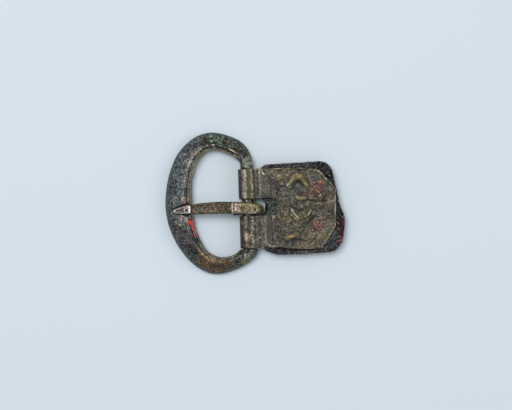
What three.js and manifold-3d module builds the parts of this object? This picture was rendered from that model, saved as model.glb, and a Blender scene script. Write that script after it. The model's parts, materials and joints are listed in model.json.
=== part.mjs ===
// A small cast buckle with a folded sheet plate and the end of its leather strap.
// Units are millimetres. The strap runs along X, the hinge bar along Y, and the buckle lies on its back
// on the plane Z = 0. Each piece is first drawn with the hinge bar's axis above the point X = 0, Y = 0.
import * as THREE from 'three';
import { mergeVertices } from 'three/addons/utils/BufferGeometryUtils.js';
import Module from 'manifold-3d';

const wasm = await Module();
wasm.setup();

// Sizes of the hinge
const BAR_DIAMETER = 2.5;
const KNUCKLE_CLEARANCE = 0.1;
const SHEET_THICKNESS = 0.5;
const SLOT_WIDTH = 3.45;
const HOOK_CLEARANCE = 0.15;
const HOOK_THICKNESS = 0.6;
const HOOK_REACH = 3.25;
const HOOK_LIFT = 0.05;

// Sizes of the plate, measured from the hinge axis
const PLATE_LENGTH = 18.75;
const PLATE_UPPER_WIDTH = 8.2;
const PLATE_LOWER_WIDTH = 8.68;
const SHOULDER_RUN = 1.1;
const FIELD_START = 4.7;
const FIELD_STEP = 0.12;
const FIELD_STEP_RUN = 0.25;
const SLOT_MARGIN = 1.9;
const RIDGE_WIDTH = 0.9;
const RIDGE_HEIGHT = 0.15;

// Sizes of the strap remnant
const LEATHER_THICKNESS = 2;
const LEATHER_CLEARANCE = 0.05;
const LEATHER_REACH = 20.45;
const LEATHER_OVERHANG = 1.55;
const NOTCH_CLEARANCE = 0.8;
const NOTCH_WIDENING = 0.2;

// Sizes of the loop
const LOOP_REACH = 17.55;
const LOOP_UPPER_OVERHANG = 8.15;
const LOOP_LOWER_OVERHANG = 5.3;
const LIMB_WIDTH = 5.75;
const LOOP_HEIGHT = 3.8;
const KNUCKLE_END_GAP = 0.2;
const LIP_HEIGHT = 0.35;
const LIP_OFFSET = 2.15;
const LIP_SPREAD = 0.9;
const GROOVE_DEPTH = 0.75;
const GROOVE_SIDE_GAP = 0.3;

// Sizes of the tongue
const TONGUE_WIDTH = 2.5;
const TONGUE_THICKNESS = 1.2;
const BLOCK_THICKNESS = 1.35;
const BLOCK_REACH = 3.25;
const BLOCK_STEP_RUN = 0.35;
const TAIL_REACH = 3.1;
const TAIL_SHIFT = 0.48;
const SEAT_GAP = 0.1;

// Sizes of the rivets
const SHANK_DIAMETER = 1.1;
const SHANK_CLEARANCE = 0.06;
const INNER_HEAD_DIAMETER = 1.6;
const INNER_HEAD_HEIGHT = 0.5;
const OUTER_HEAD_DIAMETER = 2.4;
const OUTER_HEAD_HEIGHT = 0.35;
const BURR_DIAMETER = 1.8;
const BURR_HEIGHT = 0.15;
const HEAD_GAP = 0.03;

// How finely round forms are cut, in steps
const LIMB_STEPS = 5;
const TONGUE_STEPS = 3;
const KNUCKLE_STEPS = 24;
const NECK_STEPS = 6;
const RIVET_STEPS = 20;
const NOTCH_STEPS = 12;
const EDGE_STEPS = 40;
const RIDGE_STEPS = 14;

// Cuts run this far past what they cut
const OVERRUN = 1;
const MERGE_DISTANCE = 0.0001;

// Heights and places that follow from the sizes
const barRadius = BAR_DIAMETER / 2;
const axisHeight = barRadius + HOOK_CLEARANCE + HOOK_THICKNESS + HOOK_LIFT;
const knuckleRadius = barRadius + KNUCKLE_CLEARANCE + SHEET_THICKNESS;
const foldRadius = knuckleRadius - SHEET_THICKNESS / 2;
const shoulder = knuckleRadius + SHOULDER_RUN;
const leafHeight = LEATHER_THICKNESS / 2 + LEATHER_CLEARANCE + SHEET_THICKNESS / 2;
const leafTop = leafHeight + FIELD_STEP + SHEET_THICKNESS / 2;
const leafBottom = -leafHeight - SHEET_THICKNESS / 2;
const notchEnd = HOOK_REACH + NOTCH_CLEARANCE;
const slotEnd = notchEnd + SLOT_MARGIN;
const fullHeight = LOOP_HEIGHT + BLOCK_THICKNESS + OVERRUN;

// A three.js geometry as a solid that can be joined and cut
function solidOf(geometry) {
  const bare = geometry.index ? geometry.toNonIndexed() : geometry.clone();
  bare.deleteAttribute('normal');
  bare.deleteAttribute('uv');
  const merged = mergeVertices(bare, MERGE_DISTANCE);
  return new wasm.Manifold(new wasm.Mesh({
    numProp: 3,
    vertProperties: merged.attributes.position.array,
    triVerts: new Uint32Array(merged.index.array),
  }));
}

// A joined or cut solid as a three.js geometry
function geometryOf(solid) {
  const mesh = solid.getMesh();
  const geometry = new THREE.BufferGeometry();
  geometry.setAttribute('position', new THREE.BufferAttribute(new Float32Array(mesh.vertProperties), 3));
  geometry.setIndex(new THREE.BufferAttribute(new Uint32Array(mesh.triVerts), 1));
  geometry.computeVertexNormals();
  return geometry;
}

// A skin over a row of rings with the same number of points, with a flat fan over each end
function loft(rings) {
  const count = rings[0].length;
  const last = (rings.length - 1) * count;
  const faces = [];
  for (let here = 0; here < last; here += count) {
    for (let k = 0; k < count; k += 1) {
      const after = (k + 1) % count;
      faces.push(here + k, here + count + k, here + after);
      faces.push(here + after, here + count + k, here + count + after);
    }
  }
  for (let k = 1; k < count - 1; k += 1) {
    faces.push(0, k, k + 1);
    faces.push(last, last + k + 1, last + k);
  }
  const geometry = new THREE.BufferGeometry();
  geometry.setFromPoints(rings.flat());
  geometry.setIndex(faces);
  return geometry;
}

// A prism that stands on the XY plane, from one height to another
function upright(shape, low, high) {
  const geometry = new THREE.ExtrudeGeometry(shape, { depth: high - low, bevelEnabled: false });
  return geometry.translate(0, 0, low);
}

// A prism drawn in the XZ plane that runs along Y, from one place to another
function along(shape, low, high) {
  const geometry = new THREE.ExtrudeGeometry(shape, { depth: high - low, bevelEnabled: false });
  return geometry.rotateX(Math.PI / 2).translate(0, high, 0);
}

function mixed(from, to, share) {
  return from + (to - from) * share;
}

// The loop: its outer edge, and at each point the way across to the inner edge, with the width, height
// and roundness of the limb there. Roundness 0 is the cast limb, with its flat back and its crest near
// the inner edge, and 1 is the round shoulder at each end of the hinge bar.
const upperEnd = PLATE_UPPER_WIDTH + KNUCKLE_END_GAP;
const lowerEnd = PLATE_LOWER_WIDTH + KNUCKLE_END_GAP;
const upperReach = PLATE_UPPER_WIDTH + LOOP_UPPER_OVERHANG;
const lowerReach = PLATE_LOWER_WIDTH + LOOP_LOWER_OVERHANG;
const shoulderSwellShare = 1.12;

// Rows of the limb: x as a share of the reach, y as a share of the reach up or down, the direction
// across in degrees, and the width, height and roundness shares
const limbShares = [
  [0.075, upperEnd / upperReach, 180, 0.452, 0.84, 1],
  [0.067, 0.649, 196, 0.484, 0.84, 0.7],
  [-0.006, 0.808, 231, 0.606, 0.85, 0.25],
  [-0.131, 0.909, 250, 0.649, 0.86, 0.05],
  [-0.353, 0.988, 267, 0.658, 0.87, 0],
  [-0.547, 0.97, 286, 0.696, 0.89, 0],
  [-0.712, 0.866, 303, 0.77, 0.91, 0],
  [-0.838, 0.716, 321, 0.835, 0.94, 0],
  [-0.929, 0.508, 344, 0.87, 0.97, 0],
  [-0.98, 0.3, 355, 0.943, 0.99, 0],
  [-1, 0.073, 364, 0.993, 1, 0],
  [-0.986, -0.136, 364, 0.993, 1, 0],
  [-0.94, -0.35, 368.6, 0.932, 0.98, 0],
  [-0.855, -0.572, 374, 0.861, 0.96, 0],
  [-0.718, -0.794, 391, 0.748, 0.93, 0],
  [-0.558, -0.951, 414, 0.717, 0.91, 0],
  [-0.37, -0.998, 436, 0.637, 0.88, 0],
  [-0.182, -0.944, 469, 0.542, 0.86, 0.05],
  [-0.028, -0.855, 499, 0.573, 0.85, 0.2],
  [0.074, -0.744, 522, 0.657, 0.84, 0.6],
  [0.111, -lowerEnd / lowerReach, 540, 0.67, 0.84, 1],
];

// The cast limb's section, as shares of its width from the middle outwards, and of its height. Inside
// the crest an incised line runs round, with a narrow rim beside it.
const limbSectionShares = [
  [0.5, 0.2], [0.47, 0.4], [0.36, 0.6], [0.14, 0.79], [-0.08, 0.93], [-0.2, 1], [-0.29, 0.97],
  [-0.33, 0.89], [-0.37, 0.93], [-0.45, 0.74], [-0.5, 0.4], [-0.497, 0.27], [-0.49, 0.12], [-0.44, 0],
  [-0.25, 0], [0, 0], [0.25, 0], [0.42, 0], [0.48, 0.04], [0.5, 0.11],
];

// Raised lips on both sides of the groove where the tongue's tip comes down
function lipHeight(edge) {
  const inFront = edge.x < -LOOP_REACH / 2;
  const away = (Math.abs(edge.y) - LIP_OFFSET) / LIP_SPREAD;
  return inFront ? LIP_HEIGHT * Math.exp(-away * away) : 0;
}

function limbRing(edge, direction, width, height, roundness) {
  const count = limbSectionShares.length;
  return limbSectionShares.map(([across, up], k) => {
    const turn = (k / count) * 2 * Math.PI;
    const inwards = mixed(0.5 - across, 0.5 - Math.cos(turn) / 2, roundness) * width;
    const castLevel = up * (height + up * lipHeight(edge));
    const roundLevel = axisHeight + Math.sin(turn) * barRadius * shoulderSwellShare;
    return new THREE.Vector3(
      edge.x + Math.cos(direction) * inwards,
      edge.y + Math.sin(direction) * inwards,
      mixed(castLevel, roundLevel, roundness),
    );
  });
}

function limb() {
  const edges = limbShares.map(([x, y, , , height]) => {
    const reach = y > 0 ? upperReach : lowerReach;
    return new THREE.Vector3(x * LOOP_REACH, y * reach, height * LOOP_HEIGHT);
  });
  const traits = limbShares.map(([, , degrees, width, , roundness]) => (
    new THREE.Vector3(THREE.MathUtils.degToRad(degrees), width * LIMB_WIDTH, roundness)
  ));
  const rail = new THREE.CatmullRomCurve3(edges, false, 'catmullrom');
  const trait = new THREE.CatmullRomCurve3(traits, false, 'catmullrom');
  const rings = [];
  const steps = (limbShares.length - 1) * LIMB_STEPS;
  for (let i = 0; i <= steps; i += 1) {
    const edge = rail.getPoint(i / steps);
    const { x: direction, y: width, z: roundness } = trait.getPoint(i / steps);
    rings.push(limbRing(edge, direction, width, edge.z, THREE.MathUtils.clamp(roundness, 0, 1)));
  }
  return solidOf(loft(rings));
}

// The hinge bar is cast with the limb, so its ends run into the two shoulders
function hingeBar() {
  const length = upperEnd + lowerEnd + 2 * OVERRUN;
  const bar = new THREE.CylinderGeometry(barRadius, barRadius, length, KNUCKLE_STEPS);
  return solidOf(bar.translate(0, (upperEnd - lowerEnd) / 2, axisHeight));
}

// The groove's floor is level under the crest and falls with the limb's outer slope
const crestShare = 0.76;
const grooveEndShare = 0.93;
const grooveEndHeightShare = 0.66;
const grooveFloor = LOOP_HEIGHT - GROOVE_DEPTH;

function grooveLevel(x) {
  const crest = -LOOP_REACH * crestShare;
  const end = -LOOP_REACH * grooveEndShare;
  const down = THREE.MathUtils.clamp((crest - x) / (crest - end), 0, 1);
  return mixed(grooveFloor, LOOP_HEIGHT * grooveEndHeightShare, down);
}

// From the crest to its end the groove narrows with the tongue's leaf-shaped tip. Its middle and its half
// width, at the crest and at its end, are shares of the tongue's width.
const grooveMiddleShares = [0, -0.1];
const grooveHalfShares = [0.39, 0.02];

function groovePlan() {
  const inner = -LOOP_REACH + LIMB_WIDTH + OVERRUN;
  const crest = -LOOP_REACH * crestShare;
  const end = -LOOP_REACH * grooveEndShare;
  const [crestMiddle, endMiddle] = grooveMiddleShares.map((share) => share * TONGUE_WIDTH);
  const [crestHalf, endHalf] = grooveHalfShares.map((share) => share * TONGUE_WIDTH + GROOVE_SIDE_GAP);
  return new THREE.Shape([
    new THREE.Vector2(inner, crestMiddle - crestHalf),
    new THREE.Vector2(inner, crestMiddle + crestHalf),
    new THREE.Vector2(crest, crestMiddle + crestHalf),
    new THREE.Vector2(end, endMiddle + endHalf),
    new THREE.Vector2(end, endMiddle - endHalf),
    new THREE.Vector2(crest, crestMiddle - crestHalf),
  ]);
}

function grooveCut() {
  const inner = -LOOP_REACH + LIMB_WIDTH + OVERRUN;
  const outer = -LOOP_REACH - OVERRUN;
  const crest = -LOOP_REACH * crestShare;
  const end = -LOOP_REACH * grooveEndShare;
  const shape = new THREE.Shape();
  shape.moveTo(inner, fullHeight);
  shape.lineTo(outer, fullHeight);
  shape.lineTo(outer, grooveLevel(outer));
  shape.lineTo(end, grooveLevel(end));
  shape.lineTo(crest, grooveLevel(crest));
  shape.lineTo(inner, grooveLevel(inner));
  const depth = solidOf(along(shape, -LIMB_WIDTH, LIMB_WIDTH));
  return depth.intersect(solidOf(upright(groovePlan(), -OVERRUN, fullHeight)));
}

function loopFrame() {
  return geometryOf(limb().add(hingeBar()).subtract(grooveCut()));
}

// The plate: the middle of the folded sheet, from the end of the front leaf to the end of the back leaf
const neckShares = [[1.27, 0.62], [1.05, 0.64]];
const foldStart = THREE.MathUtils.degToRad(46);

function foldMiddle() {
  const fieldHeight = leafHeight + FIELD_STEP;
  const bend = new THREE.SplineCurve([
    new THREE.Vector2(shoulder, leafHeight),
    ...neckShares.map(([x, z]) => new THREE.Vector2(x * foldRadius, z * foldRadius)),
    new THREE.Vector2(Math.cos(foldStart) * foldRadius, Math.sin(foldStart) * foldRadius),
  ]);
  const front = [
    new THREE.Vector2(PLATE_LENGTH, fieldHeight),
    new THREE.Vector2(FIELD_START, fieldHeight),
    new THREE.Vector2(FIELD_START - FIELD_STEP_RUN, leafHeight),
    ...bend.getPoints(NECK_STEPS * 2),
  ];
  const back = [
    ...bend.getPoints(NECK_STEPS * 2).reverse(),
    new THREE.Vector2(PLATE_LENGTH, leafHeight),
  ].map((point) => new THREE.Vector2(point.x, -point.y));
  const knuckle = [];
  for (let k = 1; k < KNUCKLE_STEPS; k += 1) {
    const turn = mixed(foldStart, 2 * Math.PI - foldStart, k / KNUCKLE_STEPS);
    knuckle.push(new THREE.Vector2(Math.cos(turn) * foldRadius, Math.sin(turn) * foldRadius));
  }
  return [...front, ...knuckle, ...back];
}

// A line of points thickened to both sides into a closed outline
function thickened(middle, thickness) {
  const sides = middle.map((point, i) => {
    const before = middle[Math.max(i - 1, 0)];
    const after = middle[Math.min(i + 1, middle.length - 1)];
    const ahead = after.clone().sub(before).normalize();
    const across = new THREE.Vector2(-ahead.y, ahead.x).multiplyScalar(thickness / 2);
    return [point.clone().add(across), point.clone().sub(across)];
  });
  const left = sides.map(([side]) => side);
  const right = sides.map(([, side]) => side).reverse();
  return new THREE.Shape([...left, ...right]);
}

// Plan of the plate: x as a share of the length, y as a share of the width on that side
const plateUpperShares = [[-0.2, 1], [0.61, 0.985], [0.82, 0.915], [1, 0.424]];
const plateLowerShares = [[0.988, 0.516], [0.827, 1.063], [0.58, 1.05], [0.25, 0.99], [-0.2, 1]];

function platePlan() {
  const upper = plateUpperShares.map(([x, y]) => [x * PLATE_LENGTH, y * PLATE_UPPER_WIDTH]);
  const lower = plateLowerShares.map(([x, y]) => [x * PLATE_LENGTH, -y * PLATE_LOWER_WIDTH]);
  return new THREE.Shape([...upper, ...lower].map(([x, y]) => new THREE.Vector2(x, y)));
}

function slotPlan() {
  const left = -knuckleRadius - OVERRUN;
  const half = SLOT_WIDTH / 2;
  return new THREE.Shape([
    new THREE.Vector2(left, -half),
    new THREE.Vector2(slotEnd, -half),
    new THREE.Vector2(slotEnd, half),
    new THREE.Vector2(left, half),
  ]);
}

// Rivet places: x as a share of the plate's length, y as a share of its upper width
const rivetShares = {
  rivet_inner: [0.365, 0.74],
  rivet_outer_upper: [0.785, 0.42],
  rivet_outer_lower: [0.79, -0.52],
};
const rivetPlaces = Object.entries(rivetShares).map(([name, [x, y]]) => ({
  name,
  x: x * PLATE_LENGTH,
  y: y * PLATE_UPPER_WIDTH,
  headDiameter: name === 'rivet_inner' ? INNER_HEAD_DIAMETER : OUTER_HEAD_DIAMETER,
  headHeight: name === 'rivet_inner' ? INNER_HEAD_HEIGHT : OUTER_HEAD_HEIGHT,
}));

function rivetHoles() {
  const radius = SHANK_DIAMETER / 2 + SHANK_CLEARANCE;
  const hole = new THREE.CylinderGeometry(radius, radius, fullHeight, RIVET_STEPS).rotateX(Math.PI / 2);
  const holes = rivetPlaces.map(({ x, y }) => solidOf(hole.clone().translate(x, y, 0)));
  return holes.reduce((all, one) => all.add(one));
}

// Low ornament on the front leaf. For each ridge its width as a share of the usual one, then the points
// that it passes: x as a share of the plate's length, y as a share of its upper width. The second is the
// arch's thick crown.
const ridgeShares = [
  [1, [0.461, 0.516], [0.482, 0.671], [0.522, 0.77], [0.571, 0.829], [0.611, 0.747], [0.672, 0.522]],
  [2.1, [0.553, 0.73], [0.603, 0.73]],
  [1, [0.544, 0.195], [0.65, 0.186]],
  [0.45, [0.478, -0.067], [0.527, -0.212], [0.587, -0.343], [0.635, -0.331], [0.721, -0.102]],
  [0.9, [0.378, -0.79], [0.42, -0.835], [0.474, -0.775], [0.54, -0.716]],
  [0.4, [0.401, 0.316], [0.43, 0.204], [0.479, 0.035]],
  [0.4, [0.341, 0.415], [0.309, 0.332], [0.3, 0.207]],
];

function ridges() {
  const solids = ridgeShares.map(([width, ...points]) => {
    const places = points.map(([x, y]) => new THREE.Vector2(x * PLATE_LENGTH, y * PLATE_UPPER_WIDTH));
    const line = new THREE.SplineCurve(places).getPoints(RIDGE_STEPS);
    return solidOf(upright(thickened(line, width * RIDGE_WIDTH), leafHeight, leafTop + RIDGE_HEIGHT));
  });
  return solids.reduce((all, one) => all.add(one));
}

function hingePlate() {
  const low = -PLATE_LOWER_WIDTH - OVERRUN;
  const high = PLATE_UPPER_WIDTH + OVERRUN;
  const sheet = solidOf(along(thickened(foldMiddle(), SHEET_THICKNESS), low, high));
  const plan = solidOf(upright(platePlan(), -fullHeight, fullHeight));
  const slot = solidOf(upright(slotPlan(), -fullHeight, fullHeight));
  return geometryOf(sheet.intersect(plan).subtract(slot).add(ridges()).subtract(rivetHoles()));
}

// The strap remnant: a worn outline, with a round notch that clears the tongue's hook.
// Shares: x of the leather's reach, y of its half width on that side.
const upperOverhangShare = 0.68;
const leatherUpper = PLATE_UPPER_WIDTH + LEATHER_OVERHANG * upperOverhangShare;
const leatherLower = PLATE_LOWER_WIDTH + LEATHER_OVERHANG;
const leatherUpperShares = [
  [0.19, 0.965], [0.35, 0.98], [0.52, 0.985], [0.68, 0.998], [0.76, 1], [0.81, 0.975], [0.856, 0.905],
  [0.885, 0.8], [0.9, 0.63], [0.925, 0.376], [0.943, 0.104],
];
const leatherLowerShares = [
  [0.97, 0.094], [0.992, 0.2], [1, 0.3], [1, 0.42], [0.987, 0.56], [0.98, 0.68], [0.95, 0.83],
  [0.893, 0.95], [0.815, 0.985], [0.66, 0.998], [0.5, 1], [0.3, 1], [0.224, 0.955], [0.17, 0.905],
];

function leatherPlan() {
  const worn = [
    ...leatherUpperShares.map(([x, y]) => new THREE.Vector2(x * LEATHER_REACH, y * leatherUpper)),
    ...leatherLowerShares.map(([x, y]) => new THREE.Vector2(x * LEATHER_REACH, -y * leatherLower)),
  ];
  const edge = new THREE.SplineCurve(worn).getPoints(EDGE_STEPS);
  const radius = SLOT_WIDTH / 2 + NOTCH_WIDENING;
  const centre = notchEnd - radius;
  const spread = Math.acos((shoulder - centre) / radius);
  const notch = [];
  for (let k = 0; k <= NOTCH_STEPS; k += 1) {
    const turn = mixed(-spread, spread, k / NOTCH_STEPS);
    notch.push(new THREE.Vector2(centre + Math.cos(turn) * radius, Math.sin(turn) * radius));
  }
  return new THREE.Shape([
    new THREE.Vector2(shoulder, PLATE_UPPER_WIDTH),
    ...edge,
    new THREE.Vector2(shoulder, -PLATE_LOWER_WIDTH),
    ...notch,
  ]);
}

function strapRemnant() {
  const half = LEATHER_THICKNESS / 2;
  return geometryOf(solidOf(upright(leatherPlan(), -half, half)).subtract(rivetHoles()));
}

// The tongue: a bar that runs from its tip over the hinge bar, bends round and comes back under it
const blockUnder = axisHeight + barRadius + HOOK_CLEARANCE;
const blockHeight = blockUnder + BLOCK_THICKNESS / 2;
const tailHeight = axisHeight - barRadius - HOOK_CLEARANCE - HOOK_THICKNESS / 2;
const bendHeight = (blockHeight + tailHeight) / 2;
const bendRise = (blockHeight - tailHeight) / 2;
const bendThickness = (BLOCK_THICKNESS + HOOK_THICKNESS) / 2;
const bendStart = HOOK_REACH * 0.44;
const bendRun = HOOK_REACH - bendThickness / 2 - bendStart;

// The shaft, from its tip: x as a share of the loop's reach, the rise of its underside from the groove
// to the hinge, then the sideways shift, the width and the thickness as shares of the tongue's
const shaftShares = [
  [-0.899, 0, -0.12, 0.14, 0.25],
  [-0.87, 0, -0.1, 0.34, 0.45],
  [-0.82, 0, -0.075, 0.54, 0.62],
  [-0.762, 0, -0.03, 0.7, 0.8],
  [-0.69, 0.03, -0.005, 0.77, 0.88],
  [-0.57, 0.22, 0.038, 0.916, 0.94],
  [-0.448, 0.5, 0.06, 0.984, 0.98],
  [-0.315, 0.8, 0.06, 1.016, 1],
];

// The bend behind the bar, by its angle from straight up: its sides shift and, near its middle, draw in
const bendDegrees = [90, 60, 30, 0, -30, -60, -90];
const bendShiftShares = [-0.1, -0.17];
const bendWidthShares = [0.95, 0.66];
const bendNarrowing = 3;
const tailShare = 0.86;

// Each row of the tongue holds x, the height and y of its middle, its width and its thickness
function shaftRows() {
  return shaftShares.map(([reach, rise, shift, width, thickness]) => {
    const x = reach * LOOP_REACH;
    const thick = thickness * TONGUE_THICKNESS;
    const under = mixed(grooveLevel(x) + SEAT_GAP, blockUnder, rise);
    return [x, under + thick / 2, shift * TONGUE_WIDTH, width * TONGUE_WIDTH, thick];
  });
}

function blockRows() {
  const stepHeight = blockUnder + TONGUE_THICKNESS / 2;
  const shift = bendShiftShares[0] * TONGUE_WIDTH;
  return [
    [-BLOCK_REACH - BLOCK_STEP_RUN, stepHeight, -shift / 3, TONGUE_WIDTH, TONGUE_THICKNESS],
    [-BLOCK_REACH, blockHeight, -shift / 3, TONGUE_WIDTH, BLOCK_THICKNESS],
    [0, blockHeight, shift / 2, TONGUE_WIDTH, BLOCK_THICKNESS],
  ];
}

function bendRows() {
  return bendDegrees.map((degrees, i) => {
    const turn = THREE.MathUtils.degToRad(degrees);
    const out = Math.cos(turn);
    const done = i / (bendDegrees.length - 1);
    return [
      bendStart + out * bendRun,
      bendHeight + Math.sin(turn) * bendRise,
      mixed(...bendShiftShares, out) * TONGUE_WIDTH,
      mixed(...bendWidthShares, out ** bendNarrowing) * TONGUE_WIDTH,
      mixed(BLOCK_THICKNESS, HOOK_THICKNESS, done),
    ];
  });
}

function tailRows() {
  const width = TONGUE_WIDTH * tailShare;
  return [
    [0, tailHeight, -TAIL_SHIFT / 2, width, HOOK_THICKNESS],
    [-TAIL_REACH / 2, tailHeight, -TAIL_SHIFT * tailShare, width, HOOK_THICKNESS],
    [-TAIL_REACH, tailHeight, -TAIL_SHIFT, width, HOOK_THICKNESS],
  ];
}

// An eight-sided bar section, as shares of half its width and half its thickness
const barSectionShares = [
  [1, 0.35], [0.72, 1], [-0.72, 1], [-1, 0.35], [-1, -0.45], [-0.8, -1], [0.8, -1], [1, -0.45],
];

function tongue() {
  const rows = [...shaftRows(), ...blockRows(), ...bendRows(), ...tailRows()];
  const places = rows.map(([x, height, y]) => new THREE.Vector3(x, y, height));
  const sizes = rows.map(([, , , width, thickness]) => new THREE.Vector3(width, thickness, 0));
  const path = new THREE.CatmullRomCurve3(places, false, 'catmullrom');
  const size = new THREE.CatmullRomCurve3(sizes, false, 'catmullrom');
  const rings = [];
  const steps = (rows.length - 1) * TONGUE_STEPS;
  for (let i = 0; i <= steps; i += 1) {
    const place = path.getPoint(i / steps);
    const ahead = path.getTangent(i / steps);
    const up = new THREE.Vector3(-ahead.z, 0, ahead.x).normalize();
    const { x: width, y: thick } = size.getPoint(i / steps);
    rings.push(barSectionShares.map(([side, level]) => new THREE.Vector3(
      place.x + (up.x * level * thick) / 2,
      place.y - (side * width) / 2,
      place.z + (up.z * level * thick) / 2,
    )));
  }
  return loft(rings);
}

// A rivet, turned about its own axis: a domed head in front, a shank and a hammered end behind.
// Shares: radius of the head or the burr, then height of it.
const headProfileShares = [[1, 0], [0.9, 0.5], [0.6, 0.86], [0, 1]];
const burrProfileShares = [[0, 1], [0.8, 1], [1, 0.5], [0.95, 0]];

function rivet({ headDiameter, headHeight }) {
  const top = leafTop + HEAD_GAP;
  const bottom = leafBottom - HEAD_GAP;
  const shank = SHANK_DIAMETER / 2;
  const head = headDiameter / 2;
  const burr = BURR_DIAMETER / 2;
  const profile = [
    ...burrProfileShares.map(([out, down]) => [out * burr, bottom - down * BURR_HEIGHT]),
    [shank, bottom],
    [shank, top],
    ...headProfileShares.map(([out, up]) => [out * head, top + up * headHeight]),
  ].map(([radius, height]) => new THREE.Vector2(radius, height));
  return new THREE.LatheGeometry(profile, RIVET_STEPS).rotateX(Math.PI / 2);
}

// Materials
const bronze = new THREE.MeshStandardMaterial({ color: 0x5c5748, roughness: 0.5, metalness: 0.75 });
const wornBronze = new THREE.MeshStandardMaterial({ color: 0x7a6c48, roughness: 0.42, metalness: 0.8 });
const sheetBronze = new THREE.MeshStandardMaterial({ color: 0x635a40, roughness: 0.48, metalness: 0.7 });
const leather = new THREE.MeshStandardMaterial({ color: 0x2c2522, roughness: 0.85, metalness: 0 });
const copper = new THREE.MeshStandardMaterial({ color: 0x7d4a38, roughness: 0.6, metalness: 0.5 });

function named(name, geometry, material) {
  const mesh = new THREE.Mesh(geometry, material);
  mesh.name = name;
  return mesh;
}

// The buckle. The plate, the strap and the rivets are drawn about the hinge axis and raised to it.
const buckle = new THREE.Group();
buckle.add(named('loop_frame', loopFrame(), bronze));
buckle.add(named('tongue', tongue(), wornBronze));

const held = new THREE.Group();
held.position.z = axisHeight;
held.add(named('hinge_plate', hingePlate(), sheetBronze));
held.add(named('strap_remnant', strapRemnant(), leather));
for (const place of rivetPlaces) {
  const mesh = named(place.name, rivet(place), copper);
  mesh.position.set(place.x, place.y, 0);
  held.add(mesh);
}
buckle.add(held);

// The origin goes to the middle of the buckle's footprint, on the plane that it lies on
const bounds = new THREE.Box3().setFromObject(buckle);
const middle = bounds.getCenter(new THREE.Vector3());
buckle.position.set(-middle.x, -middle.y, -bounds.min.z);

const part = new THREE.Group();
part.add(buckle);

export default part;
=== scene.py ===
# %% [markdown]
# # A small old strap buckle, seen from straight above
# The object is a cast bronze loop, a hooked tongue, a folded sheet plate with rivets, and the end of its
# leather strap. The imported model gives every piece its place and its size. This file dresses those
# pieces: it builds finer meshes inside the same boxes, and gives each of them a finish.

import json
import math

import bmesh
import bpy
import numpy as np
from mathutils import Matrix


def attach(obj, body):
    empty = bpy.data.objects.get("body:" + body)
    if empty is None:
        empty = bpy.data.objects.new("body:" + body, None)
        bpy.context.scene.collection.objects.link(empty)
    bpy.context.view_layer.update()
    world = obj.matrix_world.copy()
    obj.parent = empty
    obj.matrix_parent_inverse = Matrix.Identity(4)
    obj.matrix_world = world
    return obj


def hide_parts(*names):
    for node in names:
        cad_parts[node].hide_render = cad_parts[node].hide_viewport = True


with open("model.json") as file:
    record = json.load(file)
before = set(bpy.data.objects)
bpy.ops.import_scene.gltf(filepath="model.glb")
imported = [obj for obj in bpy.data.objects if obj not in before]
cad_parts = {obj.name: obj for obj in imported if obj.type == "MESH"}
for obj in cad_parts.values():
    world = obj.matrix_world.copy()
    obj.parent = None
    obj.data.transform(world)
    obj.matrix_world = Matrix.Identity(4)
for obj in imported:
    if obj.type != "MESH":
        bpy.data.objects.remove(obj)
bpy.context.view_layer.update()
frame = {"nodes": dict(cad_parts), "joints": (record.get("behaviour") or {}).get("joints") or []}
hinge = np.array(frame["joints"][0]["pos_m"]) * 1000
print("pieces:", sorted(frame["nodes"]))
print("hinge axis in millimetres:", hinge.round(3))

# %% [markdown]
# ## Units, smooth curves and steady noise
# Blender works in metres here, but a buckle is easier to think about in millimetres from its hinge. So
# each shape is drawn in millimetres with the hinge axis above the point 0, 0, and is moved into place
# once, when its mesh is made. Old metal is never even. A small noise function written with numpy gives
# the same bumps on each run, and it is quick enough for a hundred thousand points.

# %% Helpers for shapes
MM = 0.001
NOISE_PRIMES = (374761393, 668265263, 2147483647, 1274126177)
WORD = 0xFFFFFFFF
SEED_SHIFT, LAYER_FADE = 7.31, 0.6


def smooth_curve(rows, steps):
    """Points on a smooth curve through the rows, with a number of steps between two rows."""
    rows = np.asarray(rows, float)
    before = 2 * rows[0] - rows[1]
    after = 2 * rows[-1] - rows[-2]
    p = np.vstack([before, rows, after])
    at = np.linspace(0, len(rows) - 1, (len(rows) - 1) * steps + 1)
    i = np.minimum(at.astype(int), len(rows) - 2)
    t = (at - i)[:, None]
    a, b, c, d = p[i], p[i + 1], p[i + 2], p[i + 3]
    return b + 0.5 * t * (c - a + t * (2 * a - 5 * b + 4 * c - d + t * (3 * (b - c) + d - a)))


def eased(value, low, high):
    """0 up to low, 1 from high on, and a soft slope between them."""
    t = np.clip((value - low) / (high - low), 0, 1)
    return t * t * (3 - 2 * t)


def bell(value, middle, half):
    """1 at the middle, and a soft fall to 0 on both sides."""
    return np.exp(-((value - middle) / half) ** 2)


def mixed(a, b, share):
    """a where the share is 0, b where it is 1."""
    return a + (b - a) * share


def lattice(cells, seed):
    """A steady random number from 0 to 1 for every whole-numbered cell."""
    n = sum(cells[..., k] * NOISE_PRIMES[k] for k in range(3)) + seed * NOISE_PRIMES[3]
    n &= WORD
    n = ((n ^ (n >> 13)) * NOISE_PRIMES[3]) & WORD
    return ((n ^ (n >> 16)) & 0xFFFF) / 0xFFFF


def noise(points, size, seed, layers=1):
    """Soft lumps of about that size in millimetres, from -1 to 1. Each further layer is half as large."""
    total, weight = np.zeros(len(points)), 0
    for layer in range(layers):
        at = np.asarray(points, float) / size * 2 ** layer + seed * SEED_SHIFT
        cell = np.floor(at).astype(np.int64)
        t = at - cell
        t = t * t * (3 - 2 * t)
        value = 0
        for corner in np.ndindex(2, 2, 2):
            share = np.prod(np.where(corner, t, 1 - t), axis=1)
            value = value + share * lattice(cell + np.array(corner), seed + layer)
        total += (value * 2 - 1) * LAYER_FADE ** layer
        weight += LAYER_FADE ** layer
    return total / weight


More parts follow.
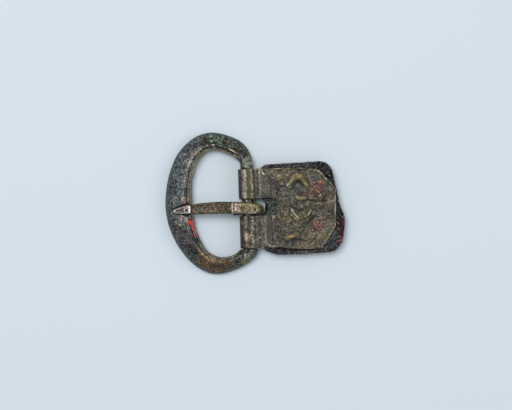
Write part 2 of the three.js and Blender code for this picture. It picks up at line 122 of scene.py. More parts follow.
probe = noise(np.random.default_rng(1).uniform(-9, 9, (500, 3)), 1.0, 3)
print("noise runs from", probe.min().round(2), "to", probe.max().round(2))

# %% Helpers for meshes
origin = np.array([hinge[0], hinge[1], 0])
JOIN_WITHIN, SOFTENING, SOFT_ROUNDS = 0.002, 0.5, 6


def linked(name, data):
    """A new object in the scene that holds a mesh, a lamp or a camera."""
    holder = bpy.data.objects.new(name, data)
    bpy.context.scene.collection.objects.link(holder)
    return holder


def new_piece(name, points, faces):
    """A mesh from points in millimetres about the hinge."""
    mesh = bpy.data.meshes.new(name)
    mesh.from_pydata((np.asarray(points) + origin) * MM, [], faces)
    mesh.validate()
    mesh.shade_smooth()
    return linked(name, mesh)


def tube_faces(rings, around, closed):
    """Four-sided faces between rings of points. A closed tube joins its last ring to its first."""
    ids = np.arange(rings * around).reshape(rings, around)
    if closed:
        ids = np.vstack([ids, ids[:1]])
    after = np.roll(ids, -1, axis=1)
    return np.column_stack([part.ravel() for part in (ids[:-1], ids[1:], after[1:], after[:-1])]).tolist()


def set_marks(piece, marks):
    """Stores one number per point under each name, for the finishes to read."""
    for name, values in marks.items():
        layer = piece.data.attributes.get(name) or piece.data.attributes.new(name, "FLOAT", "POINT")
        layer.data.foreach_set("value", np.asarray(values, np.float32))


def shape_of(piece):
    """A piece's points in millimetres about the hinge, and its normals."""
    found = []
    for kind in ("co", "normal"):
        flat = np.zeros(len(piece.data.vertices) * 3, np.float32)
        piece.data.vertices.foreach_get(kind, flat)
        found.append(flat.reshape(-1, 3).astype(float))
    return found[0] / MM - origin, found[1]


def move_points(piece, points):
    piece.data.vertices.foreach_set("co", ((points + origin) * MM).astype(np.float32).ravel())
    piece.data.update()


def as_mesh(piece):
    """The piece with its modifiers worked into a plain mesh."""
    bpy.context.view_layer.update()
    shown = piece.evaluated_get(bpy.context.evaluated_depsgraph_get())
    mesh = bpy.data.meshes.new_from_object(shown)
    piece.modifiers.clear()
    piece.data = mesh
    return piece


def finer_copy(node, name, grain):
    """A copy of a CAD node's mesh with its loose triangles joined, remade in small even faces."""
    copy = frame["nodes"][node].copy()
    copy.data = copy.data.copy()
    copy.name = name
    copy.parent = None
    for key in list(copy.keys()):
        del copy[key]
    copy.data.materials.clear()
    bpy.context.scene.collection.objects.link(copy)
    joined = bmesh.new()
    joined.from_mesh(copy.data)
    bmesh.ops.remove_doubles(joined, verts=joined.verts, dist=JOIN_WITHIN * MM)
    joined.to_mesh(copy.data)
    joined.free()
    remake = copy.modifiers.new("even faces", "REMESH")
    remake.mode = "VOXEL"
    remake.voxel_size = grain * MM
    soften = copy.modifiers.new("no steps", "SMOOTH")
    soften.factor, soften.iterations = SOFTENING, SOFT_ROUNDS
    as_mesh(copy).data.shade_smooth()
    return copy


def nearest(points, line):
    """The distance in plan from each point to a line of places, and how far along the line that is."""
    line = np.asarray(line, float)
    best = np.full(len(points), 1e9)
    along = np.zeros(len(points))
    for i in range(len(line) - 1):
        a, step = line[i], line[i + 1] - line[i]
        t = np.clip(((points[:, :2] - a) @ step) / (step @ step), 0, 1)
        away = np.linalg.norm(points[:, :2] - a - t[:, None] * step, axis=1)
        closer = away < best
        best = np.where(closer, away, best)
        along = np.where(closer, (i + t) / (len(line) - 1), along)
    return best, along


def spot(points, x, y, size, seed):
    """A patch with a ragged edge: 1 in its middle and 0 outside."""
    away = np.hypot(points[:, 0] - x, points[:, 1] - y) / size
    return 1 - eased(away + noise(points, 0.9, seed, 2) * 0.35, 0.45, 1.1)


# %% [markdown]
# ## Shared effects for the finishes
# Each surface here is one metal or hide in several tones that lie over each other as clouds, grains and
# flecks. Noise textures make these well, and a node group keeps the recipe in one place. It gives out a
# colour and a height, so that darker grains can also be a little deeper. A second group turns a painted
# mark into a mask with a ragged edge, because corrosion and wear never end in a soft airbrushed rim. A
# third one draws thin wandering lines, for the scratches and root marks on the flat sheet.

# %% Helpers for shader nodes
def tone(red, green, blue):
    """A colour given as it looks on a screen, from 0 to 255."""
    linear = [((c / 255 + 0.055) / 1.055) ** 2.4 if c > 10 else c / 3294.6 for c in (red, green, blue)]
    return (*linear, 1.0)


def fill(tree, node, inputs):
    """Fills a node's inputs with values or with links."""
    for key, value in inputs.items():
        if isinstance(value, bpy.types.NodeSocket):
            tree.links.new(value, node.inputs[key])
        else:
            node.inputs[key].default_value = value


def put(tree, kind, inputs=None, **settings):
    """Adds a node, makes its settings, and fills its inputs."""
    node = tree.nodes.new(kind)
    for name, value in settings.items():
        setattr(node, name, value)
    fill(tree, node, inputs or {})
    return node


def blend_colours(tree, share, a, b, way="MIX"):
    node = put(tree, "ShaderNodeMix", {0: share, 6: a, 7: b}, data_type="RGBA", blend_type=way)
    return node.outputs[2]


def ramp(tree, value, low, high):
    """0 where the value is low, 1 where it is high, soft between."""
    inputs = {"Value": value, "From Min": low, "From Max": high}
    return put(tree, "ShaderNodeMapRange", inputs, interpolation_type="SMOOTHSTEP").outputs["Result"]


def sums(tree, way, a, b=0.0):
    return put(tree, "ShaderNodeMath", {0: a, 1: b}, operation=way).outputs[0]


def times(tree, a, b):
    return sums(tree, "MULTIPLY", a, b)


def noise_node(tree, vector, scale, detail=3.0, rough=0.6, swirl=0.0):
    inputs = {"Vector": vector, "Scale": scale, "Detail": detail, "Roughness": rough, "Distortion": swirl}
    return put(tree, "ShaderNodeTexNoise", inputs).outputs["Fac"]


def mark(tree, name):
    return put(tree, "ShaderNodeAttribute", attribute_name=name).outputs["Fac"]


def new_tree(name, kind, inputs, outputs):
    """A node group with named sockets, given as (name, kind of socket, default)."""
    tree = bpy.data.node_groups.new(name, kind)
    for socket, value_kind, default in inputs:
        made = tree.interface.new_socket(socket, in_out="INPUT", socket_type="NodeSocket" + value_kind)
        if default is not None:
            made.default_value = default
    for socket, value_kind in outputs:
        tree.interface.new_socket(socket, in_out="OUTPUT", socket_type="NodeSocket" + value_kind)
    return tree, tree.nodes.new("NodeGroupInput").outputs, tree.nodes.new("NodeGroupOutput")


# %% The group for mottled surfaces
GREY = (0.2, 0.2, 0.2, 1)
mottle, given, out = new_tree(
    "mottled surface", "ShaderNodeTree",
    [("Vector", "Vector", None)]
    + [(name, "Color", GREY) for name in ("Dark", "Mid", "Light", "Fleck", "Tint")]
    + [("Cloud Scale", "Float", 450.0), ("Grain Scale", "Float", 2400.0), ("Fleck Share", "Float", 0.5),
       ("Grit", "Float", 0.9)],
    [("Color", "Color"), ("Height", "Float")],
)
where, cloud_scale, grain_scale = given["Vector"], given["Cloud Scale"], given["Grain Scale"]
clouds = noise_node(mottle, where, cloud_scale, 4, 0.62, 0.8)
tints = noise_node(mottle, where, times(mottle, cloud_scale, 1.9), 2, 0.6)
grains = noise_node(mottle, where, grain_scale, 3, 0.6, 1.4)
flecks = noise_node(mottle, where, times(mottle, grain_scale, 1.6), 1, 0.5)
grit = noise_node(mottle, where, times(mottle, grain_scale, 1.3), 0, 0.5)
light = times(mottle, ramp(mottle, grains, 0.49, 0.62), ramp(mottle, clouds, 0.25, 0.6))
deep = times(mottle, ramp(mottle, grains, 0.46, 0.37), 0.9)
fleck_low = sums(mottle, "SUBTRACT", 0.74, times(mottle, given["Fleck Share"], 0.2))
fleck_high = sums(mottle, "ADD", fleck_low, 0.07)
body = blend_colours(mottle, ramp(mottle, clouds, 0.36, 0.64), given["Dark"], given["Mid"])
for share, over in ((ramp(mottle, tints, 0.5, 0.66), "Tint"), (light, "Light"), (deep, "Dark"),
                    (ramp(mottle, flecks, fleck_low, fleck_high), "Fleck")):
    body = blend_colours(mottle, share, body, given[over])
grit = put(mottle, "ShaderNodeMapRange", {"Value": grit, "From Min": 0.3, "From Max": 0.7,
                                          "To Min": 0.3, "To Max": 1.75}).outputs["Result"]
body = blend_colours(mottle, given["Grit"], body, grit, "MULTIPLY")
height = sums(mottle, "ADD", times(mottle, grains, 0.7), times(mottle, flecks, 0.3))
fill(mottle, out, {"Color": body, "Height": height})
print("group:", mottle.name, "with", len(mottle.nodes), "nodes")

# %% The group for ragged masks
ragged, given, out = new_tree(
    "ragged mask", "ShaderNodeTree",
    [("Vector", "Vector", None), ("Mark", "Float", 0.0), ("Scale", "Float", 1800.0),
     ("Break", "Float", 0.6)],
    [("Mask", "Float")],
)
breaks = noise_node(ragged, given["Vector"], given["Scale"], 3, 0.65)
breaks = times(ragged, sums(ragged, "SUBTRACT", breaks, 0.5), given["Break"])
breaks = sums(ragged, "ADD", times(ragged, breaks, 6.0), 1.0)
breaks = times(ragged, breaks, given["Mark"])
fill(ragged, out, {"Mask": ramp(ragged, breaks, 0.2, 0.8)})
print("group:", ragged.name, "with", len(ragged.nodes), "nodes")

# %% The group for fine wandering lines
lines, given, out = new_tree(
    "fine lines", "ShaderNodeTree",
    [("Vector", "Vector", None), ("Scale", "Float", 600.0), ("Width", "Float", 0.02),
     ("Broken", "Float", 0.5)],
    [("Mask", "Float")],
)
level_field = noise_node(lines, given["Vector"], given["Scale"], 2, 0.5, 0.4)
away = sums(lines, "ABSOLUTE", sums(lines, "SUBTRACT", level_field, 0.5))
away = sums(lines, "DIVIDE", away, given["Width"])
unbroken = sums(lines, "SUBTRACT", 1.0, ramp(lines, away, 0.3, 1.0))
gap_field = noise_node(lines, given["Vector"], times(lines, given["Scale"], 0.8), 1, 0.5, 0.7)
shown_part = sums(lines, "GREATER_THAN", gap_field, given["Broken"])
fill(lines, out, {"Mask": times(lines, unbroken, shown_part)})
print("group:", lines.name, "with", len(lines.nodes), "nodes")

# %% Helpers that place the groups in a material
SOFT = (0, 0)
BUMP_DEPTH = 0.09 * MM


def new_finish(name):
    """An empty material with its Principled shader and the Object coordinates."""
    finish = bpy.data.materials.new(name)
    finish.use_nodes = True
    tree = finish.node_tree
    return finish, tree, tree.nodes["Principled BSDF"], put(tree, "ShaderNodeTexCoord").outputs["Object"]


def use(tree, group, inputs, output):
    return put(tree, "ShaderNodeGroup", inputs, node_tree=group).outputs[output]


def mottled(tree, vector, dark, mid, light, fleck, tint=None, cloud=450, grain=2000, share=0.5, grit=0.9):
    """A colour of five tones in clouds, grains and flecks. Each tone is given as it looks on a screen."""
    tones = {"Dark": dark, "Mid": mid, "Light": light, "Fleck": fleck, "Tint": tint or mid}
    inputs = {key: tone(*colour) for key, colour in tones.items()}
    inputs |= {"Vector": vector, "Cloud Scale": cloud, "Grain Scale": grain, "Fleck Share": share,
               "Grit": grit}
    return use(tree, mottle, inputs, "Color")


def height_of(colour):
    """The height that goes with a mottled colour."""
    return colour.node.outputs["Height"]


def layered(tree, vector, colour, layers):
    """Lays colours over the first one, each where its mark is, and gives the masks back too.

    A layer is a mark's name, its colour, the scale and the breaking of its ragged edge, or SOFT for
    the plain mark, and a strength where that isn't 1."""
    masks = {}
    for name, over, (scale, breaking), *strength in layers:
        mask = mark(tree, name)
        if scale:
            inputs = {"Vector": vector, "Mark": mask, "Scale": scale, "Break": breaking}
            mask = use(tree, ragged, inputs, "Mask")
        if strength:
            mask = times(tree, mask, strength[0])
        masks[name] = mask
        colour = blend_colours(tree, mask, colour, tone(*over) if isinstance(over, tuple) else over)
    return colour, masks


def finish_with(tree, shader, colour, height, strength, roughness, metallic):
    """Joins colour, bump, roughness and metal share to the shader."""
    bump = put(tree, "ShaderNodeBump", {"Height": height, "Strength": strength, "Distance": BUMP_DEPTH})
    tree.links.new(bump.outputs["Normal"], shader.inputs["Normal"])
    fill(tree, shader, {"Base Color": colour, "Roughness": roughness, "Metallic": metallic})


# %% [markdown]
# ## The cast loop
# The loop was cast in one with its hinge bar: a D-shaped limb, flat behind and steep outside, with its
# crest near the inner edge. An incised line runs round inside the crest. It could be a bevelled curve,
# but the section changes all the way round, from a wide flat front to a round shoulder. So it is a loft
# in code: a table gives the outer edge, the direction across, the width, the height and the roundness,
# and one closed skin runs round the limb and back through the hinge bar, with no end caps at all.

# %% The loop's sizes
BAR_RADIUS = 1.25
LOOP_REACH, UPPER_REACH, LOWER_REACH = 17.55, 16.35, 13.98
UPPER_END, LOWER_END = 8.4, 8.88
LIMB_WIDTH, LOOP_HEIGHT, GROOVE_DEPTH = 5.75, 3.8, 0.75
BAR_INSET = 0.06
LIP_HEIGHT, LIP_OFFSET, LIP_SPREAD = 0.35, 2.15, 0.9
limb_rows = [
    [0.075, UPPER_END / UPPER_REACH, 180, 0.452, 0.84, 1], [0.067, 0.649, 196, 0.484, 0.84, 0.7],
    [-0.006, 0.808, 231, 0.606, 0.85, 0.25], [-0.131, 0.909, 250, 0.649, 0.86, 0.05],
    [-0.353, 0.988, 267, 0.658, 0.87, 0], [-0.547, 0.97, 286, 0.696, 0.89, 0],
    [-0.712, 0.866, 303, 0.77, 0.91, 0], [-0.838, 0.716, 321, 0.835, 0.94, 0],
    [-0.929, 0.508, 344, 0.87, 0.97, 0], [-0.98, 0.3, 355, 0.943, 0.99, 0],
    [-1, 0.073, 364, 0.993, 1, 0], [-0.986, -0.136, 364, 0.993, 1, 0],
    [-0.94, -0.35, 368.6, 0.932, 0.98, 0], [-0.855, -0.572, 374, 0.861, 0.96, 0],
    [-0.718, -0.794, 391, 0.748, 0.93, 0], [-0.558, -0.951, 414, 0.717, 0.91, 0],
    [-0.37, -0.998, 436, 0.637, 0.88, 0], [-0.182, -0.944, 469, 0.542, 0.86, 0.05],
    [-0.028, -0.855, 499, 0.573, 0.85, 0.2], [0.074, -0.744, 522, 0.657, 0.84, 0.6],
    [0.111, -LOWER_END / LOWER_REACH, 540, 0.67, 0.84, 1],
]
limb_section = [
    [0.5, 0.2], [0.47, 0.4], [0.36, 0.6], [0.14, 0.79], [-0.08, 0.93], [-0.2, 1], [-0.29, 0.975],
    [-0.34, 0.88], [-0.38, 0.93], [-0.45, 0.74], [-0.5, 0.4], [-0.497, 0.27], [-0.49, 0.12], [-0.44, 0],
    [-0.25, 0], [0, 0], [0.25, 0], [0.42, 0], [0.48, 0.04], [0.5, 0.11],
]
WORN_LINE = {7: 0.94, 8: 0.89}
CORNERS, TOP_CORNERS, FINE_STEPS = 20, 10, 40
SHOULDER_GROWTH = 1.12
WORN_PLACE, WORN_SPREAD = -6.5, 2.8
STATIONS_BETWEEN = 32
TOP_POINTS, BACK_POINTS, BAR_STATIONS = 66, 22, 60
print("rows round the limb:", len(limb_rows), "corners in its section:", len(limb_section))

# %% The loop's skin
rows = np.array(limb_rows)
reach = np.where(rows[:, 1] > 0, UPPER_REACH, LOWER_REACH)
table = np.column_stack([rows[:, 0] * LOOP_REACH, rows[:, 1] * reach, rows[:, 4] * LOOP_HEIGHT,
                         np.radians(rows[:, 2]), rows[:, 3] * LIMB_WIDTH, rows[:, 5]])
limb = smooth_curve(table, STATIONS_BETWEEN)
turns = np.concatenate([np.linspace(0, TOP_CORNERS, TOP_POINTS, endpoint=False),
                        np.linspace(TOP_CORNERS, CORNERS, BACK_POINTS, endpoint=False)])


def section_through(outline):
    """The smooth closed section at the chosen turns, from its twenty corner points."""
    fine = smooth_curve(outline[-1:] + outline + outline[:2], FINE_STEPS)[FINE_STEPS:]
    at = np.arange(len(fine))
    return np.column_stack([np.interp(turns * FINE_STEPS, at, fine[:, 0]),
                            np.clip(np.interp(turns * FINE_STEPS, at, fine[:, 1]), 0, 1)])


section = section_through(limb_section)
worn = section_through([[x, WORN_LINE.get(i, z)] for i, (x, z) in enumerate(limb_section)])
angle = turns / CORNERS * 2 * math.pi

edge_x, edge_y, tall, way, wide, roundness = (limb[:, k][:, None] for k in range(6))
roundness = np.clip(roundness, 0, 1)
inwards = mixed(0.5 - section[:, 0], 0.5 - np.cos(angle) / 2, roundness) * wide
lips = LIP_HEIGHT * bell(np.abs(edge_y), LIP_OFFSET, LIP_SPREAD) * (edge_x < -LOOP_REACH / 2)
worn_top = bell(edge_x, WORN_PLACE, WORN_SPREAD) * eased(edge_y, 8, 12)
line_left = eased(edge_y, -13.5, -9) * (0.75 + 0.25 * np.sin(edge_y * 0.9)) * (1 - 0.7 * worn_top)
level_share = mixed(worn[:, 1], section[:, 1], line_left)
cast = level_share * (tall + level_share * lips)
rounded = hinge[2] + np.sin(angle) * BAR_RADIUS * SHOULDER_GROWTH
skin = np.stack([edge_x + np.cos(way) * inwards, edge_y + np.sin(way) * inwards,
                 mixed(cast, rounded, roundness)], axis=2)
across = 0.5 - np.broadcast_to(section[:, 0], inwards.shape)
front = np.broadcast_to(turns < TOP_CORNERS, inwards.shape)
print("stations:", len(limb), "points in a section:", len(turns))

# %% The groove for the tongue's tip
HALF_AT_CREST, HALF_AT_END = 1.15, 0.32
MIDDLE_AT_CREST, MIDDLE_AT_END = 0.04, -0.2
top_level = LOOP_HEIGHT - GROOVE_DEPTH
crest_x, end_x = -LOOP_REACH * 0.76, -LOOP_REACH * 0.93


def groove_down(x):
    """How far down the limb's outer slope a place is, from 0 at the crest to 1 at the groove's end."""
    return np.clip((crest_x - x) / (crest_x - end_x), 0, 1)


def groove_level(x):
    return mixed(top_level, LOOP_HEIGHT * 0.66, groove_down(x))


x, y, z = skin[..., 0], skin[..., 1], skin[..., 2]
half_groove = mixed(HALF_AT_CREST, HALF_AT_END, groove_down(x))
groove_y = mixed(MIDDLE_AT_CREST, MIDDLE_AT_END, groove_down(x))
in_groove = (1 - eased(np.abs(y - groove_y), half_groove - 0.06, half_groove + 0.12)) * (x < -8)
floor_level = groove_level(x)
skin[..., 2] = np.where(z > floor_level, mixed(z, floor_level, in_groove), z)
print("points in the groove:", int((in_groove > 0.5).sum()))

# %% The hinge bar, and the loop as one closed piece
bar_at = np.linspace(-LOWER_END + BAR_INSET, UPPER_END - BAR_INSET, BAR_STATIONS)
bar = np.stack(np.broadcast_arrays(np.cos(angle) * BAR_RADIUS, bar_at[:, None],
                                   hinge[2] + np.sin(angle) * BAR_RADIUS), axis=2)
rings = np.concatenate([skin, bar])
spare = np.zeros((BAR_STATIONS, len(turns)))
across = np.concatenate([across, spare + 0.5]).ravel()
front = np.concatenate([front, spare > 1]).ravel()
on_limb = np.concatenate([1 - roundness * np.ones(len(turns)), spare]).ravel()
in_groove = np.concatenate([in_groove * (z > floor_level - 0.05), spare]).ravel()
loop = new_piece("cast_loop", rings.reshape(-1, 3), tube_faces(len(rings), len(turns), closed=True))
print("loop:", len(loop.data.polygons), "faces")

# %% [markdown]
# The metal is old: it has soft dents, corrosion pits and a few file marks. These move the points along
# their normals by a few hundredths of a millimetre, and not at all on the bar, which has to turn in its
# knuckles. The same positions give the marks for the finish: where it is green, earthy or rubbed bare,
# and where highlights and shade are painted.

# %% Age the loop
points, normals = shape_of(loop)
free = on_limb * eased(points[:, 2], 0.15, 0.6)
dents = noise(points, 2.4, 11, 2) * 0.07 + noise(points, 0.7, 12, 2) * 0.035
at_lips = bell(np.abs(points[:, 1]), 2.1, 0.7) * (points[:, 0] < -12) * (points[:, 0] > -16)
dents += noise(points, 0.9, 15, 2) * 0.14 * at_lips
pits = -eased(noise(points, 0.42, 13, 2), 0.28, 0.6) * 0.07
points += normals * ((dents + pits) * free)[:, None]
points[:, 2] = np.maximum(points[:, 2], 0)
move_points(loop, points)

x, y = points[:, 0], points[:, 1]
wander = noise(points, 3.0, 14, 2)
shown = front * on_limb


def band(middle, half):
    """A stripe along the limb, at a share of the way from its outer to its inner edge."""
    return bell(across, middle, half) * shown


left_arm = eased(y, 2.4, 4.4) * (1 - eased(y, 12.2, 13.6)) * (x < -7)
top_bend = eased(y, 9.5, 12) * (x < 0)
places_of = {
    "green": [(-7.1, 15.6, 0.8), (-6.6, 14.7, 1.1), (-5.5, 13.8, 0.9), (-5.9, 14.8, 0.9), (-4.8, 14.9, 0.7),
              (-2.7, 13.4, 0.5), (0.3, -9.3, 0.4), (1.1, -9.1, 0.4)],
    "earth": [(-9.0, -11.3, 2.3), (-7.4, -12.2, 2.3), (-5.6, -12.0, 2.2)],
    "gold": [(-10.7, -8.7, 0.6), (-10.3, -9.4, 0.7), (-8.7, -10.3, 0.7), (-7.0, -10.8, 0.8),
             (-5.7, -10.6, 0.6), (-10.2, 11.6, 0.9)],
    "lips": [(-13.9, 2.6, 0.5), (-13.3, 2.0, 0.9), (-13.8, 1.5, 0.7), (-12.4, 2.0, 0.5),
             (-14.1, -1.85, 0.9), (-13.2, -2.0, 0.7), (-13.6, -3.1, 0.4), (-8.0, 13.4, 0.45),
             (-7.0, 13.4, 0.45), (-14.5, -3.0, 0.5)],
    "pale": [(0.1, 9.4, 1.6), (-0.5, 10.2, 0.8), (-15.3, 2.1, 0.8), (-13.1, -2.3, 0.7), (-15.0, -2.7, 0.7),
             (-0.6, -10.4, 0.9), (0.4, -9.9, 0.7)],
    "moss": [(-16.9, 4.4, 1.0), (-17.0, 6.2, 0.8), (-15.9, 8.3, 0.7), (-1.1, -11.6, 0.9), (0.2, -10.8, 0.8),
             (-2.0, -12.0, 0.7), (-4.5, -11.0, 0.8)],
    "dark": [(-8.6, 14.3, 0.9), (-9.5, 13.6, 0.6), (-3.6, 12.3, 0.7), (-2.1, -9.5, 0.8), (-1.1, -9.6, 0.8),
             (-0.2, -9.2, 0.7)],
}
spots = {kind: np.max([spot(points, *place, 20 + i) for i, place in enumerate(places)], axis=0)
         for kind, places in places_of.items()}
stroke, _ = nearest(points, [(-11.85, -3.5), (-11.6, -4.1), (-11.62, -4.6), (-11.3, -5.1),
                             (-11.25, -5.7)])
stroke = 1 - eased(stroke + noise(points, 0.5, 26) * 0.25, 0.1, 0.38)
stroke *= 0.85 + 0.5 * noise(points, 0.8, 27)
to_glint = np.minimum(nearest(points, [(-3.6, 12.45), (-2.8, 12.1), (-2.05, 11.5)])[0],
                      nearest(points, [(-2.6, 11.15), (-1.7, 10.8), (-1.0, 10.4)])[0] + 0.03)
glint = 1 - eased(to_glint + noise(points, 0.4, 28) * 0.08, 0.03, 0.14)
glint *= 0.7 + 0.5 * noise(points, 0.6, 29)
bottom = eased(-y, 8, 9) * eased(-x, 4.2, 6.5) * (1 - eased(-x, 10.5, 12))
seam = eased(across, 0.82, 0.88) * eased(-y, 0.9, 1.5) * (1 - eased(-y, 6.2, 7.8)) * shown
worn_top = bell(x, WORN_PLACE, WORN_SPREAD) * eased(y, 8, 11)
# two thin lines by the inner edge, for a painted highlight
rim = (band(0.885, 0.018) + band(0.965, 0.02)) * (0.5 + 0.5 * eased(wander, -0.3, 0.2))
set_marks(loop, {
    "left": eased(-x + wander * 2, 7, 14),
    "lower": eased(-y + wander * 1.5, 0.5, 4) * eased(-x + wander, 4.5, 8) * 0.85,
    "verge": (1 - eased(across + wander * 0.06, 0.05, 0.25)) * shown * 0.5,
    "dark": np.maximum(spots["dark"] * 0.7, seam),
    "moss": spots["moss"] * 0.4,
    "earth": spots["earth"] * (1 - 0.6 * (1 - eased(across, 0.05, 0.3))),
    "inner": eased(across, 0.84, 0.9) * shown * 0.75 * (1 - seam),
    "green": spots["green"] * 0.68,
    "gold": np.maximum(spots["gold"] * 0.85, band(0.74, 0.13) * bottom),
    "lime": np.maximum(spot(points, -1.1, -11.5, 0.9, 36), spot(points, -0.1, -11.1, 0.7, 37)) * 0.9,
    "pale": spots["pale"] * 0.8,
    # wear and a painted highlight along the crest, strongest on the left arm
    "crest": band(0.66, 0.13) * (left_arm * mixed(0.45, 0.85, eased(y, 5.8, 7.8)) + top_bend * 0.2)
    * (0.8 + 0.4 * eased(wander, -0.3, 0.4)),
    "lips": spots["lips"] * 0.85 * (1 - in_groove) * shown,
    "rim": rim * eased(y, -8, -5),
    "line": np.maximum(band(0.845, 0.02) * eased(y, -9, -6) * (1 - 0.7 * worn_top),
                       band(0.928, 0.014) * eased(y, -2, 1)),
    "glint": glint * front,
    "shade": np.maximum(1 - eased(across, 0.015, 0.075), eased(across, 0.975, 1.0)) * on_limb
    * (1 - 0.4 * worn_top),
    # painted shade: a dark tone laid over the groove where the tongue's tip lies
    "groove": in_groove,
    "red": np.maximum(spot(points, -12.15, -2.8, 0.65, 25) * eased(across, 0.68, 0.78),
                      stroke * eased(across, 0.8, 0.9)) * front,
})
print("share of green points:", (spots["green"] > 0.5).mean().round(3))

# %% The loop's finish
finish, tree, shader, where = new_finish("dark cast bronze")
slate = mottled(tree, where, (46, 52, 56), (86, 93, 98), (124, 129, 128), (184, 180, 170), (72, 88, 82),
                share=0.4)
brown = mottled(tree, where, (38, 37, 34), (72, 73, 66), (110, 108, 96), (160, 154, 136), (64, 60, 64),
                share=0.4)
plum = mottled(tree, where, (41, 41, 44), (77, 77, 80), (110, 107, 106), (168, 160, 152), (88, 77, 74),
               share=0.35)
verdigris = mottled(tree, where, (38, 56, 42), (62, 88, 66), (120, 153, 122), (190, 215, 188))
earth = mottled(tree, where, (42, 29, 15), (82, 60, 32), (112, 86, 50), (150, 124, 82), (72, 54, 32),
                350, share=0.2, grit=0.7)
ochre = mottled(tree, where, (72, 60, 40), (128, 110, 78), (166, 146, 108), (212, 196, 160),
                (102, 84, 56), share=0.3, grit=0.6)
# worn metal for the crest, which there also stands in for a painted highlight
rubbed = mottled(tree, where, (88, 78, 74), (132, 122, 116), (164, 152, 144), (220, 210, 200),
                 (118, 102, 96), share=0.4, grit=0.3)
bare = mottled(tree, where, (100, 86, 80), (158, 140, 130), (200, 182, 170), (238, 228, 216),
               (132, 112, 104), 900, share=0.6, grit=0.2)
gilt = mottled(tree, where, (76, 68, 50), (142, 132, 106), (182, 170, 138), (220, 212, 184),
               (112, 102, 80), share=0.3, grit=0.5)
pale = mottled(tree, where, (74, 78, 68), (124, 128, 114), (156, 158, 144), (190, 190, 176),
               (100, 98, 84), share=0.3)
patina, masks = layered(tree, where, brown, [
    ("left", slate, (500, 0.4)), ("lower", plum, (500, 0.5)), ("verge", (74, 88, 82), (1500, 0.9)),
    ("dark", (38, 36, 40), (1300, 0.6)), ("moss", (92, 104, 76), (1500, 0.9)),
    ("earth", earth, (900, 0.45)), ("inner", gilt, (1300, 0.7)), ("green", verdigris, (1500, 0.9)),
    ("gold", ochre, (1500, 0.8)), ("lime", (124, 127, 84), (1900, 1.0), 0.6),
    ("pale", pale, (1300, 0.6)), ("crest", rubbed, (1500, 0.6)), ("lips", bare, (1700, 0.8)),
    # the inner rim's pale tone is a painted highlight
    ("rim", (176, 168, 134), (1700, 0.7)), ("line", (48, 41, 34), SOFT, 0.65),
    ("glint", (192, 182, 144), (1700, 0.7)), ("shade", (24, 26, 28), SOFT, 0.9),
    # the dark tone in the groove is painted shade
    ("groove", (34, 32, 30), SOFT, 0.8), ("red", (212, 60, 48), (1700, 0.5)),
])
dull = sums(tree, "MAXIMUM", sums(tree, "MAXIMUM", masks["green"], masks["earth"]),
            sums(tree, "MAXIMUM", masks["red"], masks["pale"]))
metal = times(tree, sums(tree, "SUBTRACT", 1.0, dull), 0.6)
rough = times(tree, ramp(tree, height_of(slate), 0.2, 0.8), -0.2)
finish_with(tree, shader, patina, height_of(slate), 0.9, sums(tree, "ADD", rough, 0.54), metal)
loop.data.materials.append(finish)
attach(loop, "loop")
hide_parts("loop_frame")
print("loop finish:", len(tree.nodes), "nodes")

# %% [markdown]
# ## The hooked tongue
# The tongue is a forged bar. It runs from a leaf-shaped tip in the groove to a thicker block over the
# bar, bends round the bar, and ends in a short tail underneath. It could be carved from a box, but a
# loft keeps its eight-sided section clean: rows give the place, width and thickness, as in the packed
# model, and the fine skin adds the leaf's facets, a punched ring, the block's step and its cross cuts.

# %% The tongue's rows
TONGUE_WIDTH, TONGUE_THICKNESS, BLOCK_THICKNESS, HOOK_THICKNESS = 2.5, 1.2, 1.35, 0.6
HOOK_CLEARANCE, HOOK_REACH, BLOCK_REACH, STEP_RUN = 0.15, 3.25, 3.25, 0.35
TAIL_REACH, TAIL_SHIFT, SEAT_GAP = 3.1, 0.48, 0.1
TONGUE_STEPS = 26
block_under = hinge[2] + BAR_RADIUS + HOOK_CLEARANCE
block_height = block_under + BLOCK_THICKNESS / 2
tail_height = hinge[2] - BAR_RADIUS - HOOK_CLEARANCE - HOOK_THICKNESS / 2
bend_start = HOOK_REACH * 0.44
bend_run = HOOK_REACH - (BLOCK_THICKNESS + HOOK_THICKNESS) / 4 - bend_start
shaft_rows = [
    [-0.899, 0, -0.12, 0.14, 0.25], [-0.87, 0, -0.1, 0.34, 0.45], [-0.82, 0, -0.075, 0.54, 0.62],
    [-0.762, 0, -0.03, 0.7, 0.8], [-0.69, 0.03, -0.005, 0.77, 0.88], [-0.57, 0.22, 0.038, 0.916, 0.94],
    [-0.448, 0.5, 0.06, 0.984, 0.98], [-0.315, 0.8, 0.06, 1.016, 1],
]
tongue_rows = []
for x_share, rise, shift, width, thick in shaft_rows:
    x = x_share * LOOP_REACH
    under = mixed(groove_level(x) + SEAT_GAP, block_under, rise)
    thick *= TONGUE_THICKNESS
    tongue_rows.append([x, shift * TONGUE_WIDTH, under + thick / 2, width * TONGUE_WIDTH, thick])
step_height = block_under + TONGUE_THICKNESS / 2
tongue_rows += [
    [-BLOCK_REACH - STEP_RUN, 0.083, step_height, TONGUE_WIDTH, TONGUE_THICKNESS],
    [-BLOCK_REACH, 0.083, block_height, TONGUE_WIDTH, BLOCK_THICKNESS],
    [0, -0.125, block_height, TONGUE_WIDTH, BLOCK_THICKNESS],
]
for i, degrees in enumerate((90, 60, 30, 0, -30, -60, -90)):
    turn = math.radians(degrees)
    out = math.cos(turn)
    tongue_rows.append([
        bend_start + out * bend_run, mixed(-0.1, -0.17, out) * TONGUE_WIDTH,
        (block_height + tail_height) / 2 + math.sin(turn) * (block_height - tail_height) / 2,
        mixed(0.95, 0.66, out ** 3) * TONGUE_WIDTH, mixed(BLOCK_THICKNESS, HOOK_THICKNESS, i / 6),
    ])
